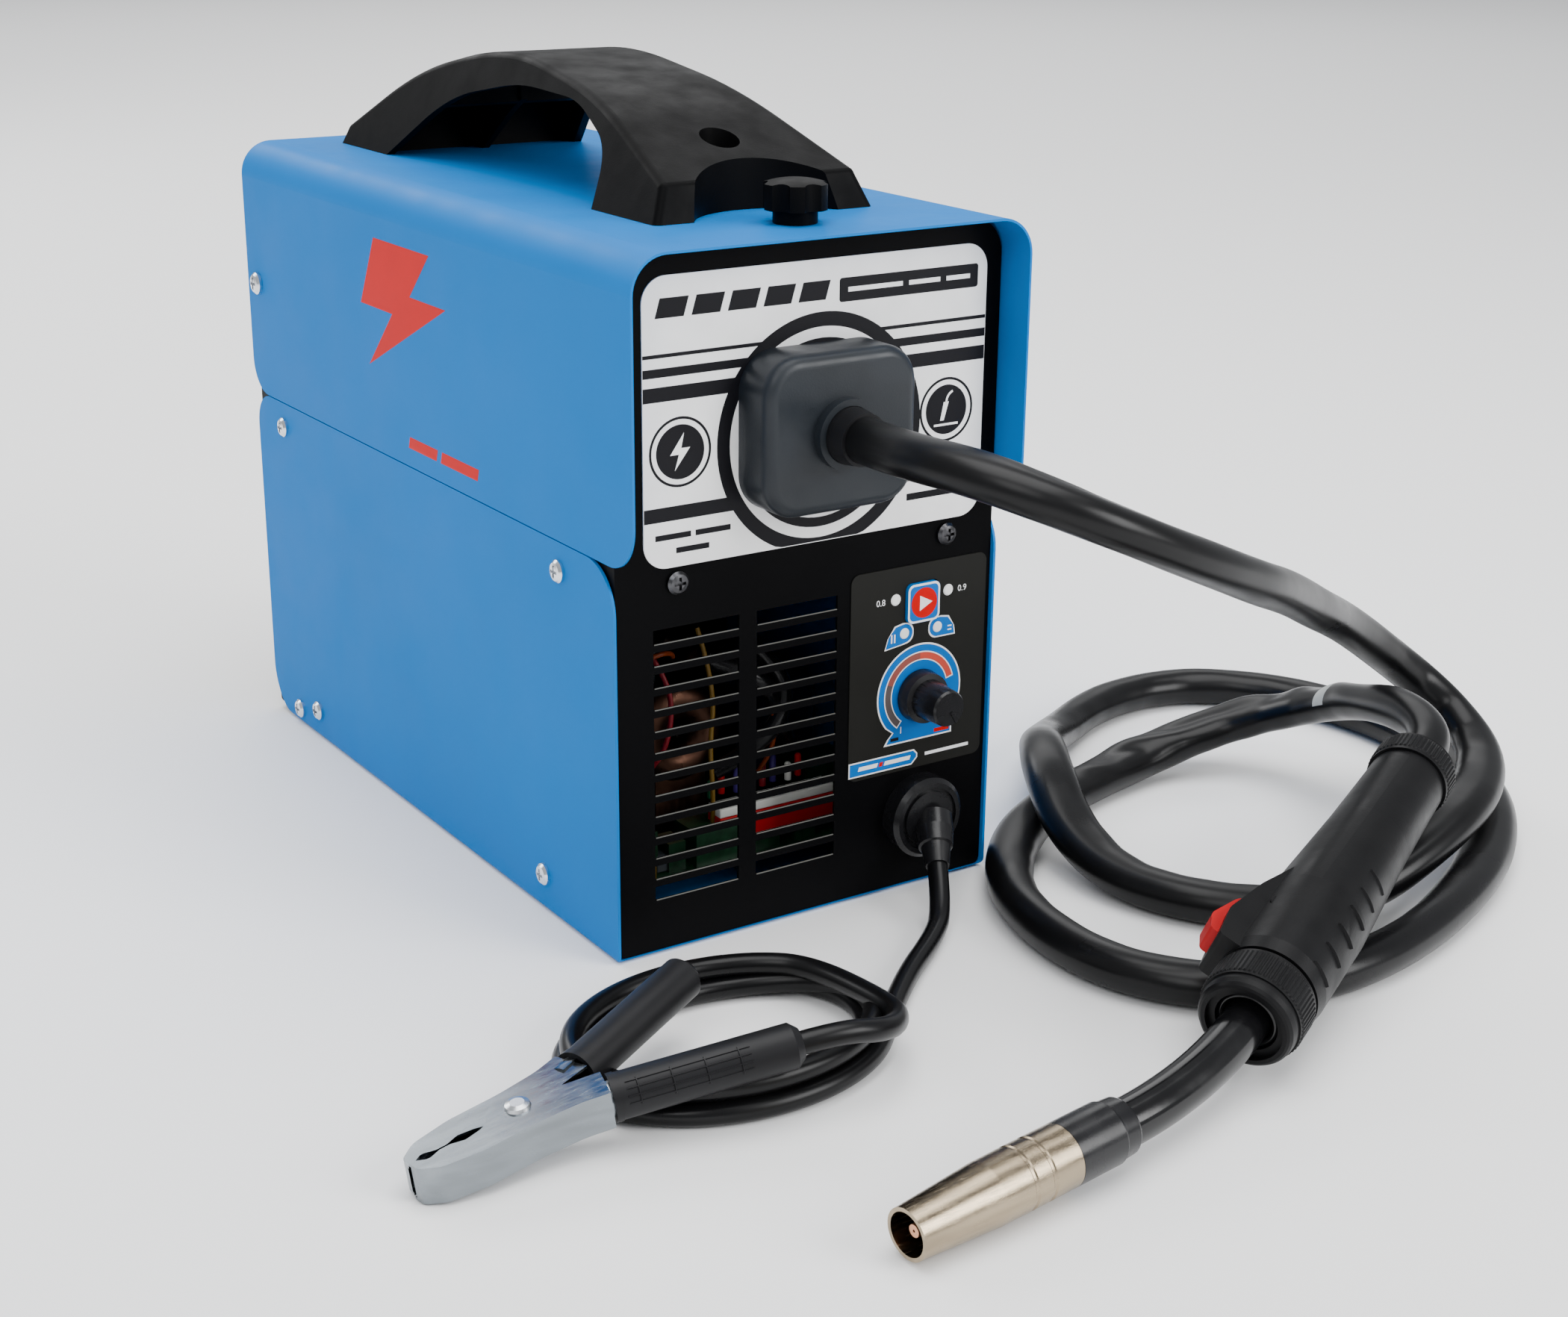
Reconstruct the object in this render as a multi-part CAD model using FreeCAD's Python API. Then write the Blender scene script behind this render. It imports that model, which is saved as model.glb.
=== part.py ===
"""Portable gasless wire-feed welder with its torch and earth clamp, in millimetres.

+Z is up, the front panel faces -Y and +X is on the right of someone who faces it. The origin is the middle of the
case's flat underside.
"""

import FreeCAD, Part
import math
import os

V = FreeCAD.Vector
AXES = {"x": V(1, 0, 0), "y": V(0, 1, 0), "z": V(0, 0, 1)}

# ---- driving dimensions ----------------------------------------------------------------------------------------
CASE_WIDTH = 180.0
CASE_LENGTH = 348.0
CASE_HEIGHT = 280.0
SPLIT_HEIGHT = 162.0
HOOD_FRONT_OVERHANG = 15.5
HOOD_REAR_OVERHANG = 2.0
SHELL_SHEET = 1.2
HOOD_SHEET = 1.0
PANEL_SHEET = 1.2
PANEL_INSET = 1.7
HOOD_BEND = 15.0

HINGE = V(0, 163.5, 215.6)
LATCH = V(0, -158, CASE_HEIGHT)

HANDLE_FOOT_HALF_WIDTH = 50.0
HANDLE_TOP_HALF_WIDTH = 27.0
HANDLE_TOP = 331.0
HANDLE_WALL = 4.0

OUTLET = V(0, 0, 206)
OUTLET_WIDTH = 69.0
OUTLET_HEIGHT = 62.0
OUTLET_DEPTH = 20.0
DIAL = V(53.5, 0, 85)
BUTTON = V(53.8, 0, 125)
EARTH = V(54.5, 0, 32.5)

SPOOL_CENTRE = V(6, 62, 222)
SPOOL_RADIUS = 50.0
ROLL_RADIUS = 15.0
ROLL_GAP = 0.8
FEED_X = 0.0
FAN_CENTRE = V(-30, 157, 72)

TORCH_CORD = 18.0
EARTH_CORD = 8.5

GRIP_START = V(57, -370, 25.5)
GRIP_END = V(213.6, -298.7, 62)
NOZZLE_HEADING = V(0.9945, 0.094, 0.047)
NECK_RADIUS = 225.0

CLAMP_CENTRE = V(-188, -281, 13.4)
CLAMP_TURN = 5.0
CLAMP_PITCH = 8.5
CLAMP_HALF_ANGLE = 19.5
CLAMP_JAW = 42.0
CLAMP_MOUTH = 31.0
CLAMP_GRIP = 68.0

# ---- derived places --------------------------------------------------------------------------------------------
HALF_WIDTH = CASE_WIDTH / 2
FRONT = -CASE_LENGTH / 2
REAR = CASE_LENGTH / 2
PANEL_FRONT = FRONT + PANEL_INSET
PANEL_REAR = REAR - PANEL_INSET
HOOD_FRONT = FRONT - HOOD_FRONT_OVERHANG
HOOD_REAR = REAR + HOOD_REAR_OVERHANG
HOOD_BOTTOM = SPLIT_HEIGHT + 0.5
HOOD_INNER_TOP = CASE_HEIGHT - HOOD_SHEET
PANEL_HALF = HALF_WIDTH - SHELL_SHEET - 0.4
PANEL_TOP = HOOD_INNER_TOP - 1.5
SHELF_TOP = SPLIT_HEIGHT - 3.0

# ---- routes of the two free cords, each a list of points in the row frame ---------------------------------------
TORCH_ROUTE = [
    (0, -206, 206), (0, -235, 206), (6, -263, 206), (20, -284, 200), (45, -297, 188), (82, -298, 171), (125, -286, 152),
    (168, -262, 134), (210, -238, 114), (250, -217, 95), (286, -206, 74), (312, -207, 55), (323, -223, 40),
    (315, -246, 31), (293, -267, 28), (262, -284, 27.5), (228, -293, 21), (193, -297, 12), (157, -292, 9),
    (129, -266, 9), (117, -230, 9), (121, -193, 17), (134, -162, 30), (152, -136, 30), (173, -110, 18), (203, -85, 9),
    (243, -65, 9), (286, -60, 9), (320, -77, 9), (342, -109, 9), (350, -149, 9), (346, -190, 9), (331, -230, 9),
    (307, -262, 9), (275, -290, 9), (239, -312, 9), (200, -329, 9), (160, -340, 9), (118, -341, 9), (82, -326, 9),
    (61, -296, 9), (58, -258, 9), (68, -221, 9), (89, -191, 9), (116, -168, 9), (148, -151, 9), (182, -140, 9),
    (217, -134, 11), (246, -138, 18), (266, -154, 27), (274, -177, 37), (271, -202, 48), (261, -227, 58),
    (251, -248, 65), (243, -268, 68.5), (235, -284, 67.5), (226, -293, 65), (213.6, -298.7, 62),
]


# ---- helpers ---------------------------------------------------------------------------------------------------
def box(x0, x1, y0, y1, z0, z1):
    return Part.makeBox(x1 - x0, y1 - y0, z1 - z0, V(x0, y0, z0))


def cylinder(centre, axis, radius, start, end):
    """A cylinder about the line through centre along axis, from start to end measured from centre."""
    direction = AXES[axis] if isinstance(axis, str) else axis
    return Part.makeCylinder(radius, end - start, centre + direction * start, direction)


def tube(centre, axis, outer, inner, start, end):
    return cylinder(centre, axis, outer, start, end).cut(cylinder(centre, axis, inner, start - 1, end + 1))


def plane_point(axis, u, v, w):
    if axis == "x":
        return V(w, u, v)
    if axis == "y":
        return V(u, w, v)
    return V(u, v, w)


def rounded_wire(corners, axis, w):
    """A closed outline of straight sides joined by tangent arcs. Each corner is (u, v, radius)."""
    edges = []
    ends = []
    count = len(corners)
    for i, (u, v, radius) in enumerate(corners):
        here = V(u, v, 0)
        before = V(*corners[i - 1][:2], 0)
        after = V(*corners[(i + 1) % count][:2], 0)
        to_before = (before - here).normalize()
        to_after = (after - here).normalize()
        if radius <= 0:
            ends.append((here, here, None))
            continue
        half = to_before.getAngle(to_after) / 2
        reach = radius / math.tan(half)
        middle = (to_before + to_after).normalize()
        top = here + middle * (radius / math.sin(half) - radius)
        ends.append((here + to_before * reach, here + to_after * reach, top))

    def place(p):
        return plane_point(axis, p.x, p.y, w)

    for i, (start, end, top) in enumerate(ends):
        if top is not None:
            edges.append(Part.Arc(place(start), place(top), place(end)).toShape())
        following = ends[(i + 1) % count][0]
        if (following - end).Length > 1e-6:
            edges.append(Part.LineSegment(place(end), place(following)).toShape())
    return Part.Wire(edges)


def prism(corners, axis, low, high):
    """The outline, in the plane across axis, pushed from low to high along it."""
    face = Part.Face(rounded_wire(corners, axis, low))
    return face.extrude(AXES[axis] * (high - low))


def rounded_plate(u0, u1, v0, v1, radius, axis, low, high):
    corners = [(u0, v0, radius), (u1, v0, radius), (u1, v1, radius), (u0, v1, radius)]
    return prism(corners, axis, low, high)


def turned(profile, centre, axis):
    """A solid of revolution: profile is (distance along axis, radius) from one end to the other."""
    direction = AXES[axis] if isinstance(axis, str) else axis
    side = V(0, 0.3, 1) if abs(direction.z) < 0.9 else V(1, 0.3, 0)
    side = (side - direction * side.dot(direction)).normalize()
    points = [centre + direction * profile[0][0]]
    points += [centre + direction * along + side * radius for along, radius in profile]
    points.append(centre + direction * profile[-1][0])
    outline = [p for i, p in enumerate(points) if i == 0 or (p - points[i - 1]).Length > 1e-6]
    face = Part.Face(Part.makePolygon(outline + [outline[0]]))
    return face.revolve(centre, direction, 360)


def union(shapes):
    result = shapes[0]
    for shape in shapes[1:]:
        result = result.fuse(shape)
    return result.removeSplitter()


def cut_all(shape, tools):
    for tool in tools:
        shape = shape.cut(tool)
    return shape


def cord_path(points):
    """Straight runs joined by tangent arcs, each as large as its two runs allow. Returns the wire and the radii."""
    route = [V(*p) for p in points]
    edges = []
    radii = []
    start = route[0]
    for before, here, after in zip(route, route[1:], route[2:]):
        back = before - here
        ahead = after - here
        reach = 0.45 * min(back.Length, ahead.Length)
        back.normalize()
        ahead.normalize()
        half = back.getAngle(ahead) / 2
        radius = reach * math.tan(half)
        radii.append(radius)
        arc_start = here + back * reach
        arc_end = here + ahead * reach
        middle = (back + ahead).normalize()
        top = here + middle * (radius / math.sin(half) - radius)
        edges.append(Part.LineSegment(start, arc_start).toShape())
        edges.append(Part.Arc(arc_start, top, arc_end).toShape())
        start = arc_end
    edges.append(Part.LineSegment(start, route[-1]).toShape())
    return Part.Wire(edges), radii


def cord(points, diameter, name):
    path, radii = cord_path(points)
    heading = V(*points[1]) - V(*points[0])
    section = Part.Wire(Part.makeCircle(diameter / 2, V(*points[0]), heading))
    solid = path.makePipeShell([section], True, False)
    expected = path.Length * math.pi * diameter ** 2 / 4
    print(f"{name}: length {path.Length:.0f}, volume ratio {solid.Volume / expected:.4f}, radii", end=" ")
    print(" ".join(f"{radius:.0f}" for radius in radii))
    return solid


def frame_matrix(origin, ex, ey, ez):
    """The rigid move that takes a part's own x, y and z to ex, ey and ez, with its origin at origin."""
    return FreeCAD.Matrix(ex.x, ey.x, ez.x, origin.x, ex.y, ey.y, ez.y, origin.y, ex.z, ey.z, ez.z, origin.z,
                          0, 0, 0, 1)


def screw_head(centre, axis, radius, height):
    """A pan head with a cross recess, standing on centre and pointing along axis."""
    direction = AXES[axis] if isinstance(axis, str) else axis
    head = turned([(0, radius), (height * 0.45, radius), (height * 0.85, radius * 0.78), (height, radius * 0.45)],
                  V(0, 0, 0), "z")
    long, wide = radius * 0.55, radius * 0.13
    head = head.cut(box(-long, long, -wide, wide, height * 0.45, height + 1))
    head = head.cut(box(-wide, wide, -long, long, height * 0.45, height + 1))
    side = V(0, 0, 1) if abs(direction.z) < 0.9 else V(1, 0, 0)
    across = direction.cross(side)
    return head.transformed(frame_matrix(centre, side, across, direction))


def screw(centre, axis, head_radius, head_height, shank_radius, shank_length):
    direction = AXES[axis] if isinstance(axis, str) else axis
    shank = cylinder(centre, direction, shank_radius, -shank_length, 0.1)
    return screw_head(centre, direction, head_radius, head_height).fuse(shank).removeSplitter()


NODES = {}


# ---- case ------------------------------------------------------------------------------------------------------
SIDE_SCREWS = [(141.5, 150.5), (-132.0, 150.5), (141.5, 8.5), (118.5, 14.5), (-113.5, 16.5)]
FRONT_SCREWS = [(-61.5, 152.0), (65.0, 152.0)]
HANDLE_SCREWS = [(-104.0, 291.0), (126.0, 288.0)]
SLOT_PITCH = 8.8
SLOT_OPEN = 5.8
SLOT_COUNT = 13
SLOT_TOP = 128.6
SLOT_COLUMNS = [(-72.0, -33.5), (-25.5, 12.5)]
INDICATORS = [(40.7, 127.8), (67.0, 127.8), (45.4, 112.8), (62.0, 112.8)]
FLANGE = 12.0


def side_holes(radius, places):
    return [cylinder(V(0, y, z), "x", radius, -HALF_WIDTH - 5, HALF_WIDTH + 5) for y, z in places]


def lower_shell():
    inner = HALF_WIDTH - SHELL_SHEET
    section = [(-HALF_WIDTH, SPLIT_HEIGHT, 0), (-HALF_WIDTH, 0, 3), (HALF_WIDTH, 0, 3), (HALF_WIDTH, SPLIT_HEIGHT, 0),
               (inner, SPLIT_HEIGHT, 0), (inner, SHELL_SHEET, 1.8), (-inner, SHELL_SHEET, 1.8),
               (-inner, SPLIT_HEIGHT, 0)]
    side = [(FRONT, -1, 0), (REAR - 24, -1, 0), (REAR - 24, 0, 0), (REAR, 0, 24), (REAR, SPLIT_HEIGHT, 16),
            (FRONT, SPLIT_HEIGHT, 20)]
    shell = prism(section, "y", FRONT, REAR).common(prism(side, "x", -HALF_WIDTH - 1, HALF_WIDTH + 1))
    corner = box(-HALF_WIDTH - 1, HALF_WIDTH + 1, FRONT - 1, FRONT + 4, -1, 4)
    corner = corner.cut(cylinder(V(0, FRONT + 4, 4), "x", 4, -HALF_WIDTH - 1, HALF_WIDTH + 1))
    return cut_all(shell, [corner] + side_holes(2.1, SIDE_SCREWS))


def hood():
    inner = HALF_WIDTH - HOOD_SHEET
    section = [(-HALF_WIDTH, HOOD_BOTTOM, 0), (-HALF_WIDTH, CASE_HEIGHT, HOOD_BEND),
               (HALF_WIDTH, CASE_HEIGHT, HOOD_BEND), (HALF_WIDTH, HOOD_BOTTOM, 0), (inner, HOOD_BOTTOM, 0),
               (inner, HOOD_INNER_TOP, HOOD_BEND - HOOD_SHEET), (-inner, HOOD_INNER_TOP, HOOD_BEND - HOOD_SHEET),
               (-inner, HOOD_BOTTOM, 0)]
    side = [(HOOD_FRONT, HOOD_BOTTOM, 18), (HOOD_REAR, HOOD_BOTTOM, 16), (HOOD_REAR, CASE_HEIGHT + 1, 0),
            (HOOD_FRONT, CASE_HEIGHT + 1, 0)]
    shell = prism(section, "y", HOOD_FRONT, HOOD_REAR).common(prism(side, "x", -HALF_WIDTH - 1, HALF_WIDTH + 1))
    holes = side_holes(3.1, [(HINGE.y, HINGE.z)])
    holes.append(cylinder(LATCH, "z", 5.0, -5, 5))
    holes += [cylinder(V(0, y, CASE_HEIGHT), "z", 2.3, -5, 5) for y, _ in HANDLE_SCREWS]
    return cut_all(shell, holes)


def tray(front, depth, sign):
    """A sheet panel with a flange all round, its face at front and its flange running sign * depth from it."""
    def corners(inset):
        half = PANEL_HALF - inset
        return [(-half, 1.6 + inset, 3), (half, 1.6 + inset, 3), (half, PANEL_TOP - inset, 14 - inset),
                (-half, PANEL_TOP - inset, 14 - inset)]

    far = front + sign * depth
    inside = front + sign * PANEL_SHEET
    beyond = far + sign
    outer = prism(corners(0), "y", min(front, far), max(front, far))
    return outer.cut(prism(corners(PANEL_SHEET), "y", min(inside, beyond), max(inside, beyond)))


def panel_cutouts(clearance):
    """The control openings that the front panel and its overlay share."""
    low, high = PANEL_FRONT - 3, PANEL_FRONT + 3
    tools = [cylinder(DIAL, "y", 3.7, low, high)]
    tools.append(rounded_plate(BUTTON.x - 8 - clearance, BUTTON.x + 8 + clearance, BUTTON.z - 8.3 - clearance,
                               BUTTON.z + 8.3 + clearance, 3, "y", low, high))
    tools += [cylinder(V(x, 0, z), "y", 2.5, low, high) for x, z in INDICATORS]
    return tools


def front_panel():
    panel = tray(PANEL_FRONT, FLANGE, 1)
    low, high = PANEL_FRONT - 3, PANEL_FRONT + 3
    tools = panel_cutouts(0.4)
    for i in range(SLOT_COUNT):
        bottom = SLOT_TOP - i * SLOT_PITCH
        tools += [box(x0, x1, low, high, bottom, bottom + SLOT_OPEN) for x0, x1 in SLOT_COLUMNS]
    tools.append(cylinder(OUTLET, "y", 16, low, high))
    tools.append(cylinder(EARTH, "y", 12.1, low, high))
    tools += [cylinder(V(x, 0, z), "y", 2.1, low, high) for x, z in FRONT_SCREWS]
    tools.append(cylinder(LATCH, "z", 8.5, -5, 1))
    panel = cut_all(panel, tools)
    inside = PANEL_FRONT + PANEL_SHEET
    bracket = box(-16, 16, inside, inside + 28, 266, 268).fuse(box(-16, 16, inside, inside + 2, 256, 268))
    bracket = bracket.fuse(cylinder(V(0, LATCH.y, 0), "z", 7, 261, 266))
    bracket = bracket.cut(cylinder(V(0, LATCH.y, 0), "z", 4.2, 255, 270))
    return panel.fuse(bracket).removeSplitter()


ROCKER = V(50, PANEL_REAR - 5.0, 112)
GLAND = V(48, 0, 30)


def rear_panel():
    panel = tray(PANEL_REAR, FLANGE, -1)
    low, high = PANEL_REAR - 3, PANEL_REAR + 3
    tools = [cylinder(GLAND, "y", 8.0, low, high)]
    tools.append(box(ROCKER.x - 11, ROCKER.x + 11, low, high, ROCKER.z - 16, ROCKER.z + 16))
    for i in range(9):
        z = FAN_CENTRE.z - 4 * 8.0 + i * 8.0
        half = math.sqrt(38.0 ** 2 - (z - FAN_CENTRE.z) ** 2)
        tools.append(rounded_plate(FAN_CENTRE.x - half, FAN_CENTRE.x + half, z - 2.5, z + 2.5, 2.4, "y", low, high))
    return cut_all(panel, tools + side_holes(2.5, [(HINGE.y, HINGE.z)]))


def mid_shelf():
    under = SHELF_TOP - SHELL_SHEET
    reach = PANEL_REAR - PANEL_SHEET - 0.2
    edge = PANEL_REAR - FLANGE - 0.4
    shelf = box(-PANEL_HALF, PANEL_HALF, -edge, edge, under, SHELF_TOP)
    shelf = shelf.fuse(box(-80, 80, -reach, reach, under, SHELF_TOP))
    for sign in (-1, 1):
        x = sorted((sign * PANEL_HALF, sign * (PANEL_HALF - SHELL_SHEET)))
        y = sorted((sign * reach, sign * (reach - SHELL_SHEET)))
        shelf = shelf.fuse(box(x[0], x[1], -edge, edge, 140, SHELF_TOP))
        shelf = shelf.fuse(box(-80, 80, y[0], y[1], 145, SHELF_TOP))
    tools = side_holes(2.1, SIDE_SCREWS[:2])
    tools += [cylinder(V(x, 0, z), "y", 2.1, -reach - 2, -reach + 4) for x, z in FRONT_SCREWS]
    tools.append(cylinder(V(55, -130, 0), "z", 9, under - 1, SHELF_TOP + 1))
    return cut_all(shelf.removeSplitter(), tools)


def label_plate():
    plate = rounded_plate(-76, 81, 158.3, 268.4, 10, "y", PANEL_FRONT - 0.6, PANEL_FRONT)
    return plate.cut(cylinder(OUTLET, "y", 16, PANEL_FRONT - 2, PANEL_FRONT + 1))


def control_overlay():
    plate = rounded_plate(18.7, 86.3, 53, 141.3, 4, "y", PANEL_FRONT - 0.5, PANEL_FRONT)
    return cut_all(plate, panel_cutouts(0.4))


def case_screws():
    screws = []
    for sign in (-1, 1):
        outward = V(sign, 0, 0)
        for y, z in SIDE_SCREWS:
            screws.append(screw(V(sign * HALF_WIDTH, y, z), outward, 4.6, 2.6, 2.0, 7))
        screws.append(screw(V(sign * (HALF_WIDTH + 0.1), HINGE.y, HINGE.z), outward, 5.2, 2.8, 2.4, 3.5))
        sleeve = tube(V(sign * (HALF_WIDTH + 0.1), HINGE.y, HINGE.z), outward, 3.0, 2.4, -1.7, 0)
        screws[-1] = screws[-1].fuse(sleeve).removeSplitter()
    screws += [screw(V(x, PANEL_FRONT, z), V(0, -1, 0), 4.6, 2.8, 2.0, 7) for x, z in FRONT_SCREWS]
    return Part.makeCompound(screws)


NODES.update(lower_shell=lower_shell, hood=hood, front_panel=front_panel, rear_panel=rear_panel, mid_shelf=mid_shelf,
             label_plate=label_plate, control_overlay=control_overlay, case_screws=case_screws)


# ---- handle and hood knob --------------------------------------------------------------------------------------
def on_upper_rim(edge):
    """Whether an edge of the handle runs along its upper outline, on either side."""
    centre = edge.CenterOfMass
    at_foot = all(vertex.Point.z < CASE_HEIGHT + 0.5 for vertex in edge.Vertexes)
    upper = centre.z > 321 - 0.0011 * centre.y ** 2 or abs(centre.y) > 105
    return abs(centre.x) > 20 and upper and not at_foot


def handle():
    foot = CASE_HEIGHT
    outline = [(151.5, foot, 0), (149, foot + 8, 4), (97, 317, 180), (20, 333.5, 200), (-66, 320.5, 250),
               (-134, 294.5, 3), (-139, foot, 0), (-90, foot, 0), (-86, 303, 22), (-52, 317.5, 60), (0, 319.5, 150),
               (58, 309, 100), (100, foot, 0)]
    rise = HANDLE_TOP - foot

    def taper(inset):
        low = HANDLE_FOOT_HALF_WIDTH - inset
        high = HANDLE_TOP_HALF_WIDTH - inset
        return prism([(-low, foot, 0), (low, foot, 0), (high, foot + rise + 4, 4), (-high, foot + rise + 4, 4)], "y",
                     -160, 170)

    body = prism(outline, "x", -60, 60).common(taper(0))
    body = body.makeFillet(3.5, [edge for edge in body.Edges if on_upper_rim(edge)])
    hollow_outline = [(145, foot - 1, 0), (143, foot + 7, 4), (95, 311.5, 180), (20, 328.5, 200), (-66, 315.5, 250),
                      (-129, 291.5, 3), (-133, foot - 1, 0)]
    hollow = prism(hollow_outline, "x", -60, 60).common(taper(HANDLE_WALL))
    front_y, front_seat = HANDLE_SCREWS[0]
    rear_y, rear_seat = HANDLE_SCREWS[1]
    posts = [cylinder(V(0, front_y, 0), "z", 11.5, foot - 1, 340), cylinder(V(0, rear_y, 0), "z", 7, foot - 1, 340)]
    ribs = [box(-60, 60, 109, 112.5, foot - 1, 340), box(-1.6, 1.6, 60, 150, foot - 1, 340),
            box(-60, 60, -101, -98.5, foot - 1, 340), box(-60, 60, 62, 64.5, foot - 1, 340),
            cylinder(LATCH, "z", 41.5, -1, 60)]
    hollow = cut_all(hollow, posts + ribs)
    body = body.cut(hollow)
    tools = [cylinder(LATCH, "z", 38, -1, 60), cylinder(V(0, front_y, 0), "z", 8, front_seat, 340),
             cylinder(V(0, front_y, 0), "z", 2.6, foot - 1, 340), cylinder(V(0, rear_y, 0), "z", 2.0, foot - 1, rear_seat)]
    return cut_all(body, tools)


def handle_screws():
    front_y, front_seat = HANDLE_SCREWS[0]
    rear_y, rear_seat = HANDLE_SCREWS[1]
    front = screw(V(0, front_y, front_seat), "z", 4.6, 2.8, 2.2, 16)
    rear = screw(V(0, rear_y, HOOD_INNER_TOP), V(0, 0, -1), 4.6, 2.8, 1.9, 8)
    return Part.makeCompound([front, rear])


def star_knob():
    knob = cylinder(LATCH, "z", 12.5, 5.4, 17.0)
    for i in range(6):
        angle = math.radians(60 * i + 30)
        knob = knob.cut(cylinder(LATCH + V(15.6 * math.cos(angle), 15.6 * math.sin(angle), 0), "z", 5.2, 0, 20))
    dome = Part.makeSphere(40, LATCH + V(0, 0, 17.0 - 40))
    knob = knob.common(dome)
    knob = knob.fuse(cylinder(LATCH, "z", 8.6, 0.3, 6.0)).removeSplitter()
    return knob.cut(cylinder(LATCH, "z", 3.06, -1, 12))


def knob_stud():
    return cylinder(LATCH, "z", 3.0, -18, 11.8)


NODES.update(handle=handle, handle_screws=handle_screws, star_knob=star_knob, knob_stud=knob_stud)


# ---- front fittings --------------------------------------------------------------------------------------------
LABEL_FRONT = PANEL_FRONT - 0.6
OUTLET_FACE = LABEL_FRONT - OUTLET_DEPTH
BOOT_END = -206.0


def outlet_housing():
    half_w, half_h = OUTLET_WIDTH / 2, OUTLET_HEIGHT / 2
    body = rounded_plate(OUTLET.x - half_w, OUTLET.x + half_w, OUTLET.z - half_h, OUTLET.z + half_h, 15, "y",
                         OUTLET_FACE, LABEL_FRONT)
    rim = [edge for edge in body.Edges if all(abs(v.Point.y - OUTLET_FACE) < 1e-3 for v in edge.Vertexes)]
    body = body.makeFillet(5, rim)
    body = body.fuse(cylinder(OUTLET, "y", 13.8, OUTLET_FACE - 4, OUTLET_FACE + 1))
    body = body.fuse(cylinder(OUTLET, "y", 15.8, LABEL_FRONT - 1, PANEL_FRONT + 8)).removeSplitter()
    return body.cut(cylinder(OUTLET, "y", 11.2, OUTLET_FACE - 5, PANEL_FRONT + 9))


def torch_boot():
    length = PANEL_FRONT + 9 - BOOT_END
    return turned([(0, 10.2), (7, 11.0), (length, 11.0)], V(OUTLET.x, BOOT_END, OUTLET.z), "y")


EARTH_EXIT = V(47.5, -197, 18.5)
EARTH_AIM = V(-0.42, -0.72, -0.55)


def earth_outlet():
    base = turned([(-9, 12), (0, 12), (0.02, 17.4), (7.5, 17.4), (9.2, 15.6)], V(EARTH.x, PANEL_FRONT, EARTH.z),
                  V(0, -1, 0))
    groove = tube(V(EARTH.x, PANEL_FRONT - 9.2, EARTH.z), V(0, -1, 0), 13.6, 11.8, -1.2, 1)
    base = base.cut(groove)
    aim = V(EARTH_AIM).normalize()
    boot = turned([(0, 4.9), (9, 6.2), (9.5, 7.2), (17, 8.0), (24, 8.0)], EARTH_EXIT, aim * -1)
    behind = box(20, 90, PANEL_FRONT - 3, PANEL_FRONT + 60, 0, 80)
    return base.fuse(boot.cut(behind)).removeSplitter()


def select_button():
    cap = rounded_plate(BUTTON.x - 8, BUTTON.x + 8, BUTTON.z - 8.3, BUTTON.z + 8.3, 2.8, "y", PANEL_FRONT - 1.9,
                        PANEL_FRONT + 1.0)
    return cap.fuse(cylinder(BUTTON, "y", 3, PANEL_FRONT + 0.9, BOARD_FRONT - 4.4)).removeSplitter()


KNOB_BACK = PANEL_FRONT - 1.2
KNOB_FACE = KNOB_BACK - 20.5


def dial_knob():
    """The fluted knob with its pointer, and the shaft that it turns."""
    knob = turned([(0, 7.0), (1.0, 7.6), (14.5, 8.4), (15.0, 10.6), (20.5, 11.2)], V(DIAL.x, KNOB_FACE, DIAL.z), "y")
    for i in range(18):
        angle = math.radians(20 * i)
        spot = DIAL + V(8.9 * math.cos(angle), 0, 8.9 * math.sin(angle))
        knob = knob.cut(cylinder(spot, "y", 0.8, KNOB_FACE - 1, KNOB_FACE + 14.5))
    pointer = box(-0.6, 0.6, KNOB_FACE - 0.4, KNOB_FACE + 0.5, 1.5, 7.0)
    pointer.rotate(V(0, 0, 0), V(0, 1, 0), 150)
    pointer.translate(DIAL)
    shaft = cylinder(DIAL, "y", 3.0, KNOB_FACE + 10, BOARD_FRONT - 1.5)
    return union([knob, pointer, shaft])


BOARD_FRONT = -158.0


def control_board():
    """The upright circuit board with its potentiometer and push switch."""
    board = box(24, 84, BOARD_FRONT, BOARD_FRONT + 1.6, 60, 138)
    pot = box(DIAL.x - 8, DIAL.x + 8, BOARD_FRONT - 8, BOARD_FRONT, DIAL.z - 8, DIAL.z + 8)
    pot = pot.fuse(cylinder(DIAL, "y", 3.4, BOARD_FRONT - 11, BOARD_FRONT - 7))
    pot = pot.cut(cylinder(DIAL, "y", 3.06, BOARD_FRONT - 12, BOARD_FRONT - 1))
    switch = box(BUTTON.x - 3, BUTTON.x + 3, BOARD_FRONT - 3.5, BOARD_FRONT, BUTTON.z - 3, BUTTON.z + 3)
    chips = [box(28, 40, BOARD_FRONT - 2.5, BOARD_FRONT, 64, 72), box(66, 80, BOARD_FRONT + 1.6, BOARD_FRONT + 9, 64, 100)]
    return union([board, pot, switch] + chips)


def indicator_lenses():
    lenses = [turned([(0, 1.9), (0.4, 2.4), (14, 2.4)], V(x, PANEL_FRONT - 0.9, z), "y") for x, z in INDICATORS]
    return Part.makeCompound(lenses)


NODES.update(outlet_housing=outlet_housing, torch_boot=torch_boot, earth_outlet=earth_outlet,
             select_button=select_button, dial_knob=dial_knob, control_board=control_board,
             indicator_lenses=indicator_lenses)


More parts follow.
